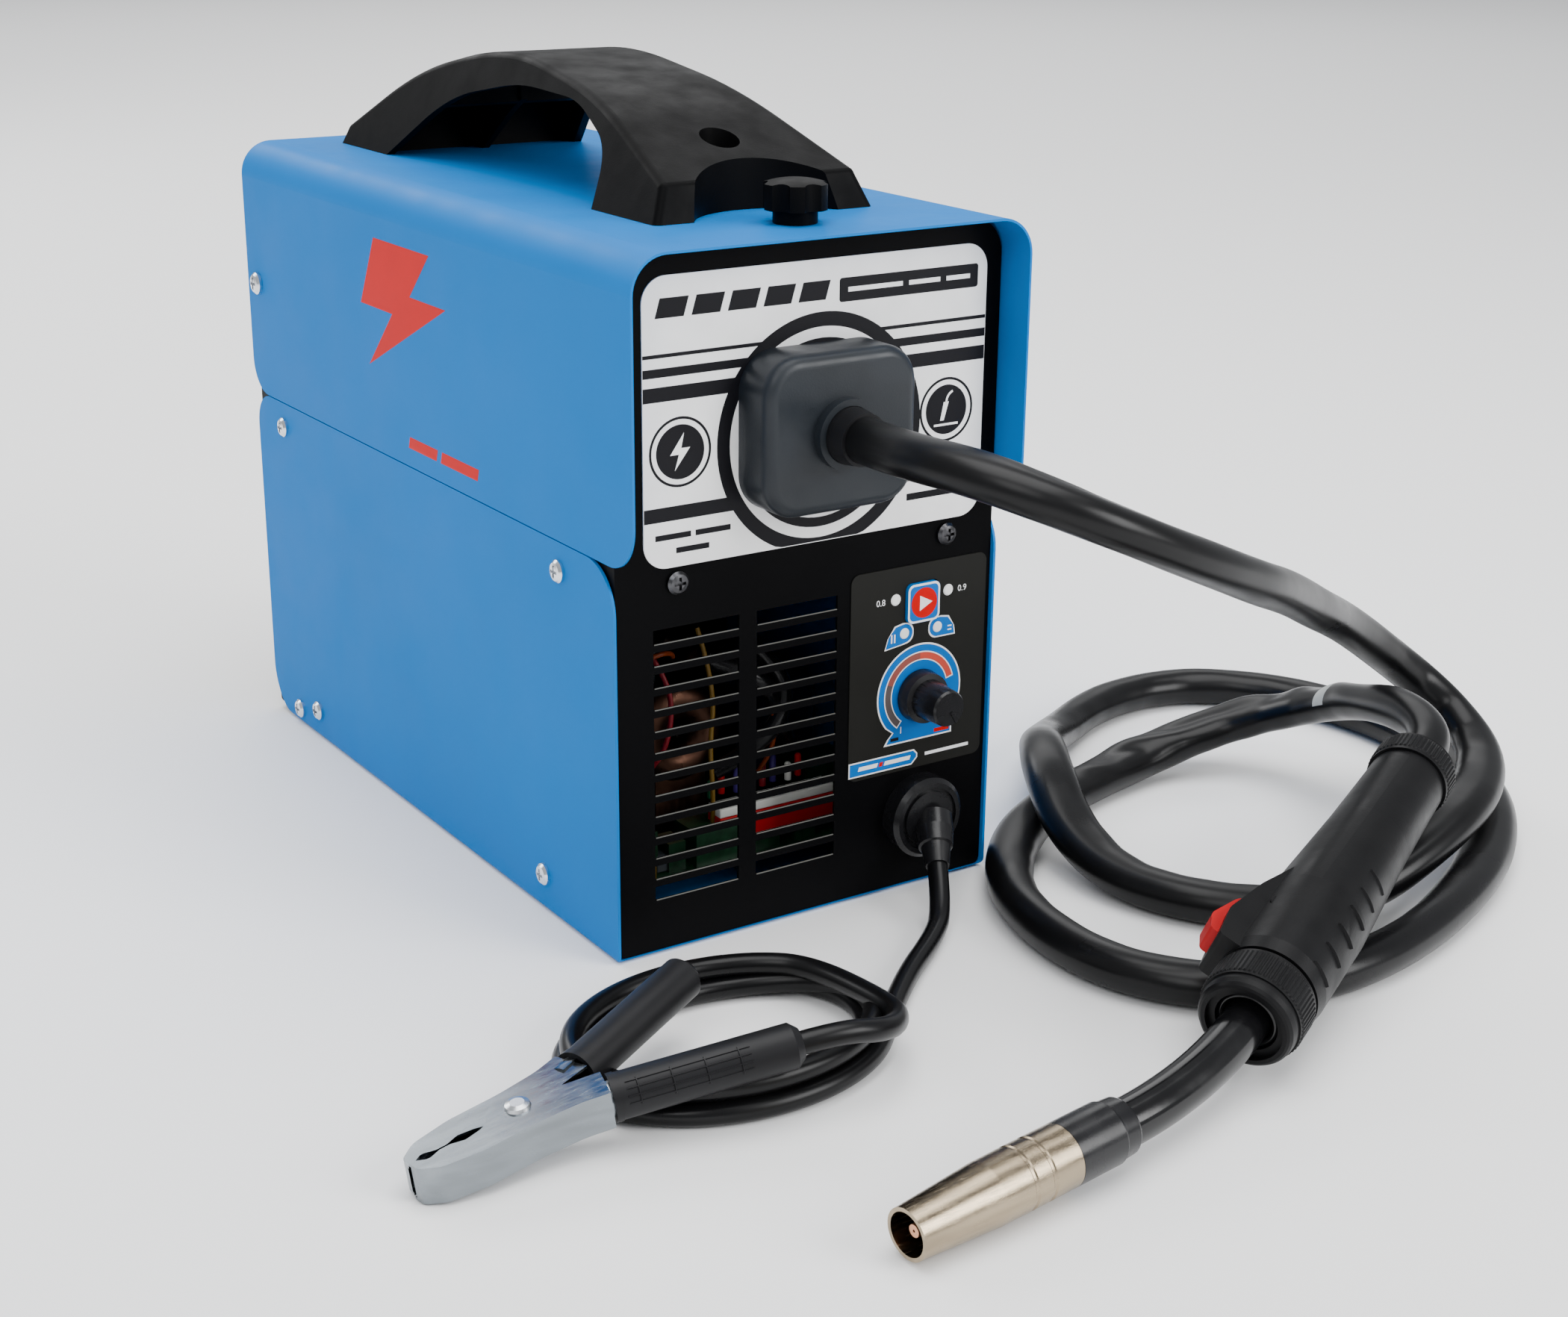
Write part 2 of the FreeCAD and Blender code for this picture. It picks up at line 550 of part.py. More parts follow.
# ---- rear fittings and lower bay -------------------------------------------------------------------------------
def mains_gland():
    gland = turned([(-6, 10), (-3.2, 10), (-3.19, 7.8), (0, 7.8), (0.01, 10.5), (5, 10.5), (6, 9.2), (12, 6.8),
                    (14, 6.2)], V(GLAND.x, PANEL_REAR, GLAND.z), "y")
    return gland.cut(cylinder(GLAND, "y", 4.0, PANEL_REAR - 7, PANEL_REAR + 15))


def switch_housing():
    centre = ROCKER
    bezel = rounded_plate(centre.x - 13.5, centre.x + 13.5, centre.z - 18.5, centre.z + 18.5, 2, "y", PANEL_REAR,
                          PANEL_REAR + 1.8)
    body = box(centre.x - 10.8, centre.x + 10.8, PANEL_REAR - 20, PANEL_REAR, centre.z - 15.8, centre.z + 15.8)
    mouth = box(centre.x - 9, centre.x + 9, PANEL_REAR - 14, PANEL_REAR + 2, centre.z - 14.3, centre.z + 14.3)
    housing = bezel.fuse(body).cut(mouth)
    for sign in (-1, 1):
        pivot = cylinder(centre, "x", 1.5, *sorted((sign * 7.6, sign * 9.1)))
        housing = housing.fuse(pivot)
    blades = [box(centre.x - 3, centre.x + 3, PANEL_REAR - 28, PANEL_REAR - 20, centre.z + dz, centre.z + dz + 0.8)
              for dz in (-9, 0, 9)]
    return union([housing] + blades)


ROCKER_TILT = 11.0


def rocker():
    profile = [(-5, -8.5, 1), (9.6, -13.3, 1.5), (6.6, 0, 20), (9.6, 13.3, 1.5), (-5, 8.5, 1)]
    shape = prism(profile, "x", -8.7, 8.7)
    shape.rotate(V(0, 0, 0), V(1, 0, 0), ROCKER_TILT)
    shape.translate(ROCKER)
    return shape.cut(cylinder(ROCKER, "x", 1.56, -10, -7.5)).cut(cylinder(ROCKER, "x", 1.56, 7.5, 10))


def fan_frame():
    x, y, z = FAN_CENTRE
    frame = rounded_plate(x - 40, x + 40, z - 40, z + 40, 4, "y", y - 12.5, y + 12.5)
    frame = frame.cut(cylinder(FAN_CENTRE, "y", 37.5, -13, 13))
    frame = frame.fuse(cylinder(FAN_CENTRE, "y", 15, -12.5, -9.5))
    for i in range(4):
        angle = 45 + 90 * i
        strut = box(10, 39, y - 12.5, y - 9.5, -1.5, 1.5)
        strut.rotate(V(0, 0, 0), V(0, 1, 0), angle)
        strut.translate(V(x, 0, z))
        frame = frame.fuse(strut)
    frame = frame.fuse(cylinder(FAN_CENTRE, "y", 2.0, -10, -2)).removeSplitter()
    corners = [cylinder(FAN_CENTRE + V(sx * 35.7, 0, sz * 35.7), "y", 2.1, -13, 13) for sx in (-1, 1)
               for sz in (-1, 1)]
    return cut_all(frame, corners)


def fan_rotor():
    rotor = cylinder(FAN_CENTRE, "y", 14.5, -8.5, 11)
    for i in range(7):
        blade = box(12, 36, -1.0, 1.0, -11, 11)
        blade.rotate(V(0, 0, 0), V(1, 0, 0), 52)
        blade.rotate(V(0, 0, 0), V(0, 1, 0), 360 / 7 * i)
        blade.translate(FAN_CENTRE + V(0, 1, 0))
        rotor = rotor.fuse(blade)
    rotor = rotor.common(cylinder(FAN_CENTRE, "y", 36.5, -8.5, 11))
    return rotor.removeSplitter().cut(cylinder(FAN_CENTRE, "y", 2.06, -9, -1))


BOARD_TOP = 17.6


def main_board():
    board = box(-78, 78, -148, 122, 16, BOARD_TOP)
    posts = [cylinder(V(x, y, 0), "z", 4, SHELL_SHEET, 16) for x in (-70, 70) for y in (-138, 112)]
    parts = [box(-74, -52, -140, -112, BOARD_TOP, 36), box(-48, -40, -142, -130, BOARD_TOP, 30),
             box(-36, -14, -144, -126, BOARD_TOP, 33), box(-8, 6, -142, -132, BOARD_TOP, 28),
             box(14, 24, -142, -122, BOARD_TOP, 26), box(34, 60, -120, -96, BOARD_TOP, 38)]
    return union([board] + posts + parts)


def heatsink():
    sink = box(-70, 0, -50, 70, BOARD_TOP, 24)
    for i in range(12):
        x = -70 + i * (70 - 2) / 11
        sink = sink.fuse(box(x, x + 2, -50, 70, 23.9, 78))
    return sink.removeSplitter()


def transformer():
    """A ferrite toroid under its winding, with the output choke beside it."""
    core = V(45, 20, 54)
    ring = Part.makeTorus(19, 15, core, V(0, 1, 0))
    seat = box(20, 70, 6, 34, BOARD_TOP, 26)
    choke = Part.makeTorus(14, 8.5, V(-28, -112, 66), V(0, 1, 0))
    stand = box(-40, -16, -118, -106, BOARD_TOP, 50)
    return Part.makeCompound([ring.fuse(seat).removeSplitter(), choke.fuse(stand).removeSplitter()])


def capacitors():
    cans = []
    for y in (-72, -40):
        cans.append(turned([(0, 14.6), (1, 15), (43, 15), (44, 14.4)], V(52, y, BOARD_TOP), "z"))
    cans.append(turned([(0, 8), (30, 8)], V(20, -100, BOARD_TOP), "z"))
    return Part.makeCompound(cans)


NODES.update(mains_gland=mains_gland, switch_housing=switch_housing, rocker=rocker, fan_frame=fan_frame,
             fan_rotor=fan_rotor, main_board=main_board, heatsink=heatsink, transformer=transformer,
             capacitors=capacitors)


# ---- wire feed in the upper bay --------------------------------------------------------------------------------
ROLL_CENTRE = V(FEED_X, -116, OUTLET.z - ROLL_GAP / 2 - ROLL_RADIUS)
PRESS_RADIUS = 11.0
PRESS_CENTRE = V(FEED_X, -116, OUTLET.z + ROLL_GAP / 2 + PRESS_RADIUS)
ARM_PIVOT = V(FEED_X, -88, 224)
TENSION = V(16.5, -142, 0)


def feeder_plate():
    """The upright plate, its foot, the pivot pin, the wire guides and the stop under the tension screw."""
    plate = box(-9, -6, -152, -76, SHELF_TOP, 234).fuse(box(-9, 14, -152, -76, SHELF_TOP, SHELF_TOP + 3))
    plate = plate.fuse(cylinder(ARM_PIVOT, "x", 4.0, -7, 17))
    outlet = cylinder(V(FEED_X, 0, OUTLET.z), "y", 4.5, -160, -136)
    inlet = cylinder(V(FEED_X, 0, OUTLET.z), "y", 4.5, -97, -80)
    plate = union([plate, outlet, inlet, box(-7, 2, -148, -142, 199, 204), box(-7, 2, -94, -84, 199, 204),
                   box(-7, 22, -147, -137, 192, 198)])
    plate = plate.cut(cylinder(V(FEED_X, 0, OUTLET.z), "y", 1.0, -165, -75))
    return plate.cut(cylinder(ROLL_CENTRE, "x", 4.1, -12, -4))


def feed_motor():
    gearbox = box(-27, -9, -138, -94, 168, 212)
    can = turned([(0, 16), (2, 18), (44, 18), (45, 16)], V(-72, ROLL_CENTRE.y, ROLL_CENTRE.z), "x")
    motor = gearbox.fuse(can).removeSplitter()
    return motor.cut(cylinder(ROLL_CENTRE, "x", 4.1, -20, 0))


def drive_roll():
    roll = turned([(0, 15), (3.6, 15), (4.5, 14.5), (5.4, 15), (9, 15)], ROLL_CENTRE + V(-4.5, 0, 0), "x")
    roll = roll.fuse(cylinder(ROLL_CENTRE, "x", 4.0, -19, 4.6)).fuse(cylinder(ROLL_CENTRE, "x", 7, 4.5, 8))
    return roll.removeSplitter()


def pressure_arm():
    outline = [(-82, 217, 4), (-82, 231, 6), (-110, 232, 20), (-149, 226, 3), (-149, 219, 3), (-126, 212, 8),
               (-108, 210, 8)]
    arm = prism(outline, "x", 7.5, 10.5)
    lug = box(7.5, 22.5, -148, -136, 219.5, 225)
    arm = arm.fuse(lug).fuse(cylinder(PRESS_CENTRE, "x", 3.0, -4.6, 8))
    arm = arm.cut(cylinder(ARM_PIVOT, "x", 4.06, 0, 20))
    return arm.removeSplitter().cut(cylinder(TENSION, "z", 2.56, 200, 240))


def pressure_roll():
    return tube(PRESS_CENTRE, "x", PRESS_RADIUS, 3.06, -4.4, 4.4)


def tension_knob():
    knob = turned([(0, 7.5), (1, 8), (12, 8), (13.5, 6.5)], V(TENSION.x, TENSION.y, 238), "z")
    for i in range(12):
        angle = math.radians(30 * i + 15)
        knob = knob.cut(cylinder(TENSION + V(8.6 * math.cos(angle), 8.6 * math.sin(angle), 0), "z", 1.1, 237, 253))
    return knob.fuse(cylinder(TENSION, "z", 2.5, 198.5, 239)).removeSplitter()


def tension_spring():
    rings = [Part.makeTorus(4.6, 0.7, V(TENSION.x, TENSION.y, 225.8 + 1.9 * i), V(0, 0, 1)) for i in range(7)]
    return Part.makeCompound(rings)


SPOOL_WIDTH = 44.0
SPOOL_LEFT = SPOOL_CENTRE.x - SPOOL_WIDTH / 2


def spool_hub():
    """The spool's axle on its upright bracket, with the end cap that keeps the spool on."""
    bracket = box(SPOOL_LEFT - 5, SPOOL_LEFT - 2, SPOOL_CENTRE.y - 20, SPOOL_CENTRE.y + 20, SHELF_TOP, 238)
    bracket = bracket.fuse(box(SPOOL_LEFT - 28, SPOOL_LEFT - 2, SPOOL_CENTRE.y - 20, SPOOL_CENTRE.y + 20, SHELF_TOP,
                               SHELF_TOP + 3))
    axle = cylinder(SPOOL_CENTRE, "x", 7.9, -SPOOL_WIDTH / 2 - 3, SPOOL_WIDTH / 2 + 1)
    cap = cylinder(SPOOL_CENTRE, "x", 13, SPOOL_WIDTH / 2 + 0.5, SPOOL_WIDTH / 2 + 6)
    return union([bracket, axle, cap])


def wire_spool():
    spool = tube(SPOOL_CENTRE, "x", 22, 8.0, -SPOOL_WIDTH / 2, SPOOL_WIDTH / 2)
    for start in (-SPOOL_WIDTH / 2, SPOOL_WIDTH / 2 - 2.5):
        flange = tube(SPOOL_CENTRE, "x", SPOOL_RADIUS, 8.0, start, start + 2.5)
        for i in range(6):
            angle = math.radians(60 * i)
            spot = SPOOL_CENTRE + V(0, 35 * math.cos(angle), 35 * math.sin(angle))
            flange = flange.cut(cylinder(spot, "x", 4.5, start - 1, start + 4))
        spool = spool.fuse(flange)
    return spool.removeSplitter()


WINDING_RADIUS = 42.0


def wire_winding():
    return tube(SPOOL_CENTRE, "x", WINDING_RADIUS, 22.0, -SPOOL_WIDTH / 2 + 2.6, SPOOL_WIDTH / 2 - 2.6)


def weld_wire():
    """The wire from the underside of its winding to the inlet guide, just clear of the winding."""
    start = V(FEED_X, -80, OUTLET.z)
    low = V(FEED_X, SPOOL_CENTRE.y - 8, SPOOL_CENTRE.z - WINDING_RADIUS - 0.8)
    return Part.makeCylinder(0.4, (low - start).Length, start, low - start)


NODES.update(feeder_plate=feeder_plate, feed_motor=feed_motor, drive_roll=drive_roll, pressure_arm=pressure_arm,
             pressure_roll=pressure_roll, tension_knob=tension_knob, tension_spring=tension_spring,
             spool_hub=spool_hub, wire_spool=wire_spool, wire_winding=wire_winding, weld_wire=weld_wire)


# ---- torch -----------------------------------------------------------------------------------------------------
# The grip's own frame: x runs from the front ring to the cable, y points to the trigger and z across the grip.
GRIP_X = (GRIP_END - GRIP_START).normalize()
NOZZLE_X = V(NOZZLE_HEADING).normalize()
GRIP_Z = NOZZLE_X.cross(GRIP_X).normalize()
GRIP_Y = GRIP_Z.cross(GRIP_X)
GRIP_MATRIX = frame_matrix(GRIP_START, GRIP_X, GRIP_Y, GRIP_Z)
GRIP_LENGTH = (GRIP_END - GRIP_START).Length
NECK_TURN = NOZZLE_X.getAngle(GRIP_X)
NECK_SIDE = GRIP_Z.cross(NOZZLE_X)
NECK_START = GRIP_START - NOZZLE_X * (NECK_RADIUS * math.sin(NECK_TURN)) \
    - NECK_SIDE * (NECK_RADIUS * (1 - math.cos(NECK_TURN)))
RING_BACK = 13.0
REAR_RING_FRONT = GRIP_LENGTH - 14.0
NECK_TUBE = 8.5
TRIGGER_PIVOT = V(43, 13.5, 0)
RIB_START = 18.5
RIB_STEP = 12.3
RIB_RADIUS = [21.0, 21.0, 21.0, 20.9, 20.2, 19.5]


def in_grip(shape):
    return shape.transformed(GRIP_MATRIX)


def on_nozzle(profile):
    """A solid turned about the nozzle's axis, its profile measured from the neck towards the tip."""
    return turned(profile, NECK_START, NOZZLE_X * -1)


def front_ring():
    profile = [(-9, 16.2), (-8.5, 17.1), (-7.3, 17.9), (-5, 18.3), (-3, 18.4), (-2.99, 19), (11.6, 19),
               (RING_BACK - 0.2, 18)]
    ring = turned(profile, V(0, 0, 0), "x")
    bores = [(14.6, -10, -6.5), (11.8, -7, 2), (13.06, 1, RING_BACK + 1)]
    for radius, start, end in bores:
        ring = ring.cut(cylinder(V(0, 0, 0), "x", radius, start, end))
    return in_grip(ring)


def grip_half(side):
    outer = [(2.2, 13.0), (RING_BACK, 13.0), (RING_BACK + 0.01, 19.2), (19, 20.0), (60, 20.0), (85, 18.6), (115, 16.9),
             (150, 15.7), (REAR_RING_FRONT, 15.4)]
    inner = [(1, 8.5), (24, 8.5), (24.01, 16.8), (60, 17.4), (85, 16.0), (115, 14.2), (150, 13.0),
             (REAR_RING_FRONT - 5, 12.8), (REAR_RING_FRONT - 4.99, 9.1), (REAR_RING_FRONT + 1, 9.1)]
    origin = V(0, 0, 0)
    body = turned(outer, origin, "x")
    for i in range(6):
        start = RIB_START + RIB_STEP * i
        rib = turned([(start, 18.4), (start + 1.1, RIB_RADIUS[i]), (start + 2.2, 18.4)], origin, "x")
        reach = box(0, 200, -30, -12, -5.5, 5.5)
        reach.rotate(origin, V(1, 0, 0), -50)
        body = body.fuse(rib.common(reach))
    hump = [(13.6, 12, 0), (14.2, 25, 2.5), (29, 27, 8), (50, 22.5, 18), (72, 15, 0), (72, 8, 0), (13.6, 8, 0)]
    body = body.fuse(prism(hump, "z", -10.5, 10.5))
    body = body.cut(turned(inner, origin, "x"))
    body = body.cut(box(16.6, 50, 10, 40, -6.2, 6.2))
    posts = union([cylinder(TRIGGER_PIVOT, "z", 3.2, -12.5, -6.2), cylinder(TRIGGER_PIVOT, "z", 3.2, 6.2, 12.5),
                   cylinder(V(120, 0, 0), "z", 3.0, -15.2, 15.2)])
    body = body.fuse(posts).cut(cylinder(TRIGGER_PIVOT, "z", 1.5, -9, 9))
    half = box(0, 200, -40, 40, *sorted((0, side * 40)))
    return in_grip(body.common(half).removeSplitter())


def trigger():
    outline = [(18.4, 13.5, 0.8), (18.8, 28.5, 2.5), (26, 31.5, 5), (40, 27, 8), (48.5, 19, 2), (47, 11, 2), (40, 10.5, 2),
               (32, 13.5, 3)]
    lever = prism(outline, "z", -5.9, 5.9)
    return in_grip(lever.cut(cylinder(TRIGGER_PIVOT, "z", 1.56, -10, 10)))


def trigger_pin():
    return in_grip(cylinder(TRIGGER_PIVOT, "z", 1.5, -9, 9))


def rear_ring():
    ring = turned([(REAR_RING_FRONT, 16.5), (GRIP_LENGTH - 2, 16.5), (GRIP_LENGTH, 14.5)], V(0, 0, 0), "x")
    return in_grip(ring.cut(cylinder(V(0, 0, 0), "x", 9.2, REAR_RING_FRONT - 1, GRIP_LENGTH + 1)))


def swan_neck():
    top = NECK_START + NOZZLE_X * (NECK_RADIUS * math.sin(NECK_TURN / 2)) \
        + NECK_SIDE * (NECK_RADIUS * (1 - math.cos(NECK_TURN / 2)))
    tail = GRIP_START + GRIP_X * 24
    bend = Part.Wire([Part.Arc(NECK_START, top, GRIP_START).toShape(), Part.LineSegment(GRIP_START, tail).toShape()])
    section = Part.Wire(Part.makeCircle(NECK_TUBE, NECK_START, NOZZLE_X))
    return bend.makePipeShell([section], True, False)


def nozzle_insulator():
    sleeve = on_nozzle([(0, 9.6), (1, 10.2), (7, 10.6), (8, 11.2), (28, 11.2), (28.01, 8.6), (42, 8.6)])
    return sleeve.cut(on_nozzle([(-2, 5.0), (44, 5.0)]))


def tip_holder():
    return on_nozzle([(0.01, 5.0), (58, 5.0), (60, 4.2)]).cut(on_nozzle([(46, 2.6), (61, 2.6)]))


def contact_tip():
    return on_nozzle([(46.01, 2.6), (60, 2.6), (60.01, 4.0), (72, 4.0), (88, 2.6), (92, 2.2)]).cut(
        on_nozzle([(45, 0.5), (93, 0.5)]))


def nozzle():
    outer = [(28.2, 11.2), (40.0, 11.2), (40.5, 10.8), (41.5, 10.8), (42.0, 11.2), (48.0, 11.2), (48.5, 10.8),
             (49.5, 10.8), (50.0, 11.2), (62, 11.1), (95, 9.0)]
    inner = [(27, 8.66), (44, 8.66), (44.01, 7.9), (80, 7.6), (96, 7.6)]
    return on_nozzle(outer).cut(on_nozzle(inner))


NODES.update(torch_front_ring=front_ring, torch_grip_left=lambda: grip_half(1), torch_grip_right=lambda: grip_half(-1),
             torch_trigger=trigger, torch_trigger_pin=trigger_pin, torch_rear_ring=rear_ring, swan_neck=swan_neck,
             nozzle_insulator=nozzle_insulator, tip_holder=tip_holder, contact_tip=contact_tip, nozzle=nozzle)


# ---- earth clamp -----------------------------------------------------------------------------------------------
# The clamp's own frame: x runs from the jaws to the grips, y points from the lower arm to the upper and z is up.
CLAMP_X = V(math.cos(math.radians(CLAMP_TURN)) * math.cos(math.radians(CLAMP_PITCH)),
            math.sin(math.radians(CLAMP_TURN)) * math.cos(math.radians(CLAMP_PITCH)), math.sin(math.radians(CLAMP_PITCH)))
CLAMP_Y = V(-math.sin(math.radians(CLAMP_TURN)), math.cos(math.radians(CLAMP_TURN)), 0)
CLAMP_Z = CLAMP_X.cross(CLAMP_Y)
CLAMP_MATRIX = frame_matrix(CLAMP_CENTRE, CLAMP_X, CLAMP_Y, CLAMP_Z)
CLAMP_OPEN = 6.5
HALF_PIPE = 6.6
SLEEVE = 8.2


def handle_line(side):
    angle = math.radians(CLAMP_HALF_ANGLE)
    return V(math.cos(angle), side * math.sin(angle), 0)


def clamp_arm(side, half_height):
    """One sheet-metal arm: two cheeks and the web that joins them, running into a half pipe for its handle."""
    sheet = 1.0
    outer = [(-CLAMP_JAW, -0.2, 0), (-41.5, -5, 3), (-35, -10, 10), (-20, -12.6, 30), (0, -12.6, 60),
             (16, -14.2, 40), (26, -17.0, 0)]
    inner = [(30.5, -4.0, 0), (16, -0.5, 15), (8.5, 5.5, 3), (3, 8.8, 4), (-4, 8.8, 4), (-10, 4.5, 3), (-12, -0.2, 0),
             (-16, -1.8, 3), (-22, -2.9, 3), (-27, -1.2, 1.5), (-31, -1.2, 1.5), (-36, -3.0, 3), (-40, -0.3, 0)]
    void = [(x, y + sheet * 1.2, r) for x, y, r in outer[1:-1]]
    void = [(-50, 0.5, 0), (-CLAMP_JAW + 1.6, -1.5, 0)] + void[:] + [(40, -18, 0), (40, 30, 0), (-50, 30, 0)]
    arm = prism(outer + inner, "z", -half_height, half_height)
    arm = arm.cut(prism(void, "z", -half_height + sheet, half_height - sheet))
    line = handle_line(-1)
    across = V(0, 0, 1).cross(line)
    pipe = tube(V(0, 0, 0), line, HALF_PIPE, HALF_PIPE - sheet, 24, CLAMP_MOUTH + 40)
    keep = box(0, 100, -20, 1.0, -20, 20).transformed(frame_matrix(V(0, 0, 0), line, across, V(0, 0, 1)))
    arm = arm.fuse(pipe.common(keep)).removeSplitter()
    arm = arm.cut(cylinder(V(0, 0, 0), "z", 3.06 if side > 0 else 3.0, -10, 10))
    if side > 0:
        arm = arm.mirror(V(0, 0, 0), V(0, 1, 0))
    return arm


def sleeve_blank(side, extra):
    line = handle_line(side)
    start, end = CLAMP_MOUTH, CLAMP_MOUTH + CLAMP_GRIP
    return turned([(start, 8.5 + extra), (start + 2.5, 8.5 + extra), (start + 2.51, SLEEVE + extra),
                   (end - 3, SLEEVE + extra), (end + extra, SLEEVE - 2.5 + extra)], V(0, 0, 0), line)


def clamp_sleeve(side):
    bore = cylinder(V(0, 0, 0), handle_line(side), HALF_PIPE, CLAMP_MOUTH - 1, CLAMP_MOUTH + 55)
    sleeve = sleeve_blank(side, 0).cut(bore)
    if side < 0:
        sleeve = sleeve.cut(cylinder(V(0, 0, 0), handle_line(side), EARTH_CORD / 2, CLAMP_MOUTH, CLAMP_MOUTH + 90))
    return sleeve


def in_clamp(shape):
    return shape.transformed(CLAMP_MATRIX)


def clamp_rivet():
    rivet = turned([(-8.8, 2.5), (-8.2, 4.2), (-7.01, 4.6), (-7.0, 3.0), (7.0, 3.0), (7.01, 4.6), (8.2, 4.2), (8.8, 2.5)],
                   V(0, 0, 0), "z")
    return in_clamp(rivet)


def clamp_spring():
    """The coils round the rivet, with the leg that bears on the lower arm's web."""
    rings = [Part.makeTorus(4.0, 0.7, V(0, 0, -3.6 + 1.44 * i), V(0, 0, 1)) for i in range(6)]
    angle = math.radians(-38)
    leg = Part.makeCylinder(0.7, 13.5, V(4.0 * math.sin(-angle), -4.0 * math.cos(angle), -3.6),
                            V(math.cos(angle), math.sin(angle), 0))
    return in_clamp(Part.makeCompound([rings[0].fuse(leg)] + rings[1:]))


NODES.update(clamp_arm_lower=lambda: in_clamp(clamp_arm(-1, 7.0)), clamp_arm_upper=lambda: in_clamp(clamp_arm(1, 5.8)),
             clamp_sleeve_lower=lambda: in_clamp(clamp_sleeve(-1)), clamp_sleeve_upper=lambda: in_clamp(clamp_sleeve(1)),
             clamp_rivet=clamp_rivet, clamp_spring=clamp_spring)


# ---- cords -----------------------------------------------------------------------------------------------------
def on_lower_sleeve(along):
    return tuple(CLAMP_MATRIX.multVec(handle_line(-1) * (CLAMP_MOUTH + CLAMP_GRIP + along)))


EARTH_DROP = [tuple(EARTH_EXIT), (38.0, -213.3, 6.1), (22, -228, 4.6), (-4, -247, 4.6), (-30, -270, 4.6), (-52, -285, 4.6)]
EARTH_TAIL = [on_lower_sleeve(0), on_lower_sleeve(15), (-61, -310, 26), (-44, -298, 19), (-34, -280, 13.6)]
COIL_CENTRE = V(-92, -256, 0)
COIL_OUTER = (70.0, 54.0)
COIL_INNER = (44.0, 29.0)
COIL_HEIGHT = 18.0


def oval(half_axes, low, high):
    outline = Part.Wire(Part.Ellipse(COIL_CENTRE + V(0, 0, low), *half_axes).toShape())
    return Part.Face(outline).extrude(V(0, 0, high - low))


def earth_coil():
    coil = oval(COIL_OUTER, 0.1, COIL_HEIGHT).cut(oval(COIL_INNER, -1, COIL_HEIGHT + 1))
    tools = [in_clamp(sleeve_blank(-1, 1.0))]
    for step in range(4):
        grip = sleeve_blank(1, 1.2)
        grip.rotate(V(0, 0, 0), V(0, 0, 1), -CLAMP_OPEN * step / 3)
        tools.append(in_clamp(grip))
    jaws = box(-60, 34, -24, 24, -12, 12)
    return cut_all(coil, tools + [in_clamp(jaws)])


NODES.update(torch_cable=lambda: cord(TORCH_ROUTE, TORCH_CORD, "torch cable"),
             earth_lead_drop=lambda: cord(EARTH_DROP, EARTH_CORD, "earth drop"),
             earth_lead_tail=lambda: cord(EARTH_TAIL, EARTH_CORD, "earth tail"), earth_lead_coil=earth_coil)


# ---- export ----------------------------------------------------------------------------------------------------
os.makedirs("parts", exist_ok=True)
for node, make in NODES.items():
    shape = make()
    shape.exportStep(f"parts/{node}.step")
    bounds = shape.BoundBox
    print(f"{node}: valid {shape.isValid()}, solids {len(shape.Solids)}, volume {shape.Volume:.0f}, "
          f"z {bounds.ZMin:.1f} to {bounds.ZMax:.1f}")
print(f"{len(NODES)} nodes")
for label, point in (("neck start", NECK_START), ("sleeve end", on_lower_sleeve(0)), ("beyond it", on_lower_sleeve(15))):
    print(label, tuple(round(c, 2) for c in point))
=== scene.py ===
"""Portable wire-feed welder: its cords, printed graphics, small fittings and materials, on the CAD frame."""

import bmesh
import bpy
import math
from mathutils import Matrix, Vector


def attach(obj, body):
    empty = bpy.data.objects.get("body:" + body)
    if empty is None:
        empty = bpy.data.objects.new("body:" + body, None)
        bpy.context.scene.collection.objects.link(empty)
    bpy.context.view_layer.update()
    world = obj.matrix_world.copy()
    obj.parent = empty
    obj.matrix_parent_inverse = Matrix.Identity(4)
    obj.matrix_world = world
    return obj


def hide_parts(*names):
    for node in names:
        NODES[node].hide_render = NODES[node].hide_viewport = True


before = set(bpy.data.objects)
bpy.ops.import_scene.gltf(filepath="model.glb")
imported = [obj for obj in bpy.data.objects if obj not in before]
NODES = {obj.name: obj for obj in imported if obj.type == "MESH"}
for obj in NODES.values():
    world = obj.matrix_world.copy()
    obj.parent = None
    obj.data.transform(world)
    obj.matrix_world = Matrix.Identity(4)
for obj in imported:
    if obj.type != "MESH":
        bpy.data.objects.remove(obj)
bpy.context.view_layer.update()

MM = 0.001
COLLECTION = bpy.context.scene.collection


# ---- camera, floor and light ---------------------------------------------------------------------
CAMERA_PLACE = Vector((-500.4, -907.4, 419.3)) * MM
CAMERA_AZIMUTH = math.radians(-33.56)
CAMERA_ELEVATION = math.radians(19.17)
CAMERA_ROLL = math.radians(0.52)
CAMERA_LENS = 54.61
SENSOR_WIDTH = 36.0
WORLD_COLOUR = (0.95, 0.97, 1.0, 1)
WORLD_STRENGTH = 0.55
FLOOR_REACH = 40.0
FLOOR_DROP = 0.0003
LIGHTS = [
    # name, place, target and size in metres, power in watts
    ("key", (-1.5, -1.6, 2.0), (0, -0.05, 0.1), (1.3, 1.3), 24),
    ("fill", (1.3, -2.3, 1.3), (0.05, -0.15, 0.1), (1.4, 1.4), 62),
    ("top", (0.2, -0.3, 2.6), (0.05, -0.15, 0.0), (2.2, 2.2), 78),
    ("rim", (-0.9, 2.1, 1.5), (0, 0, 0.2), (2.8, 0.7), 34),
    ("ground", (1.6, 3.4, 2.6), (1.6, 3.4, 0.0), (4.5, 3.0), 90),
]


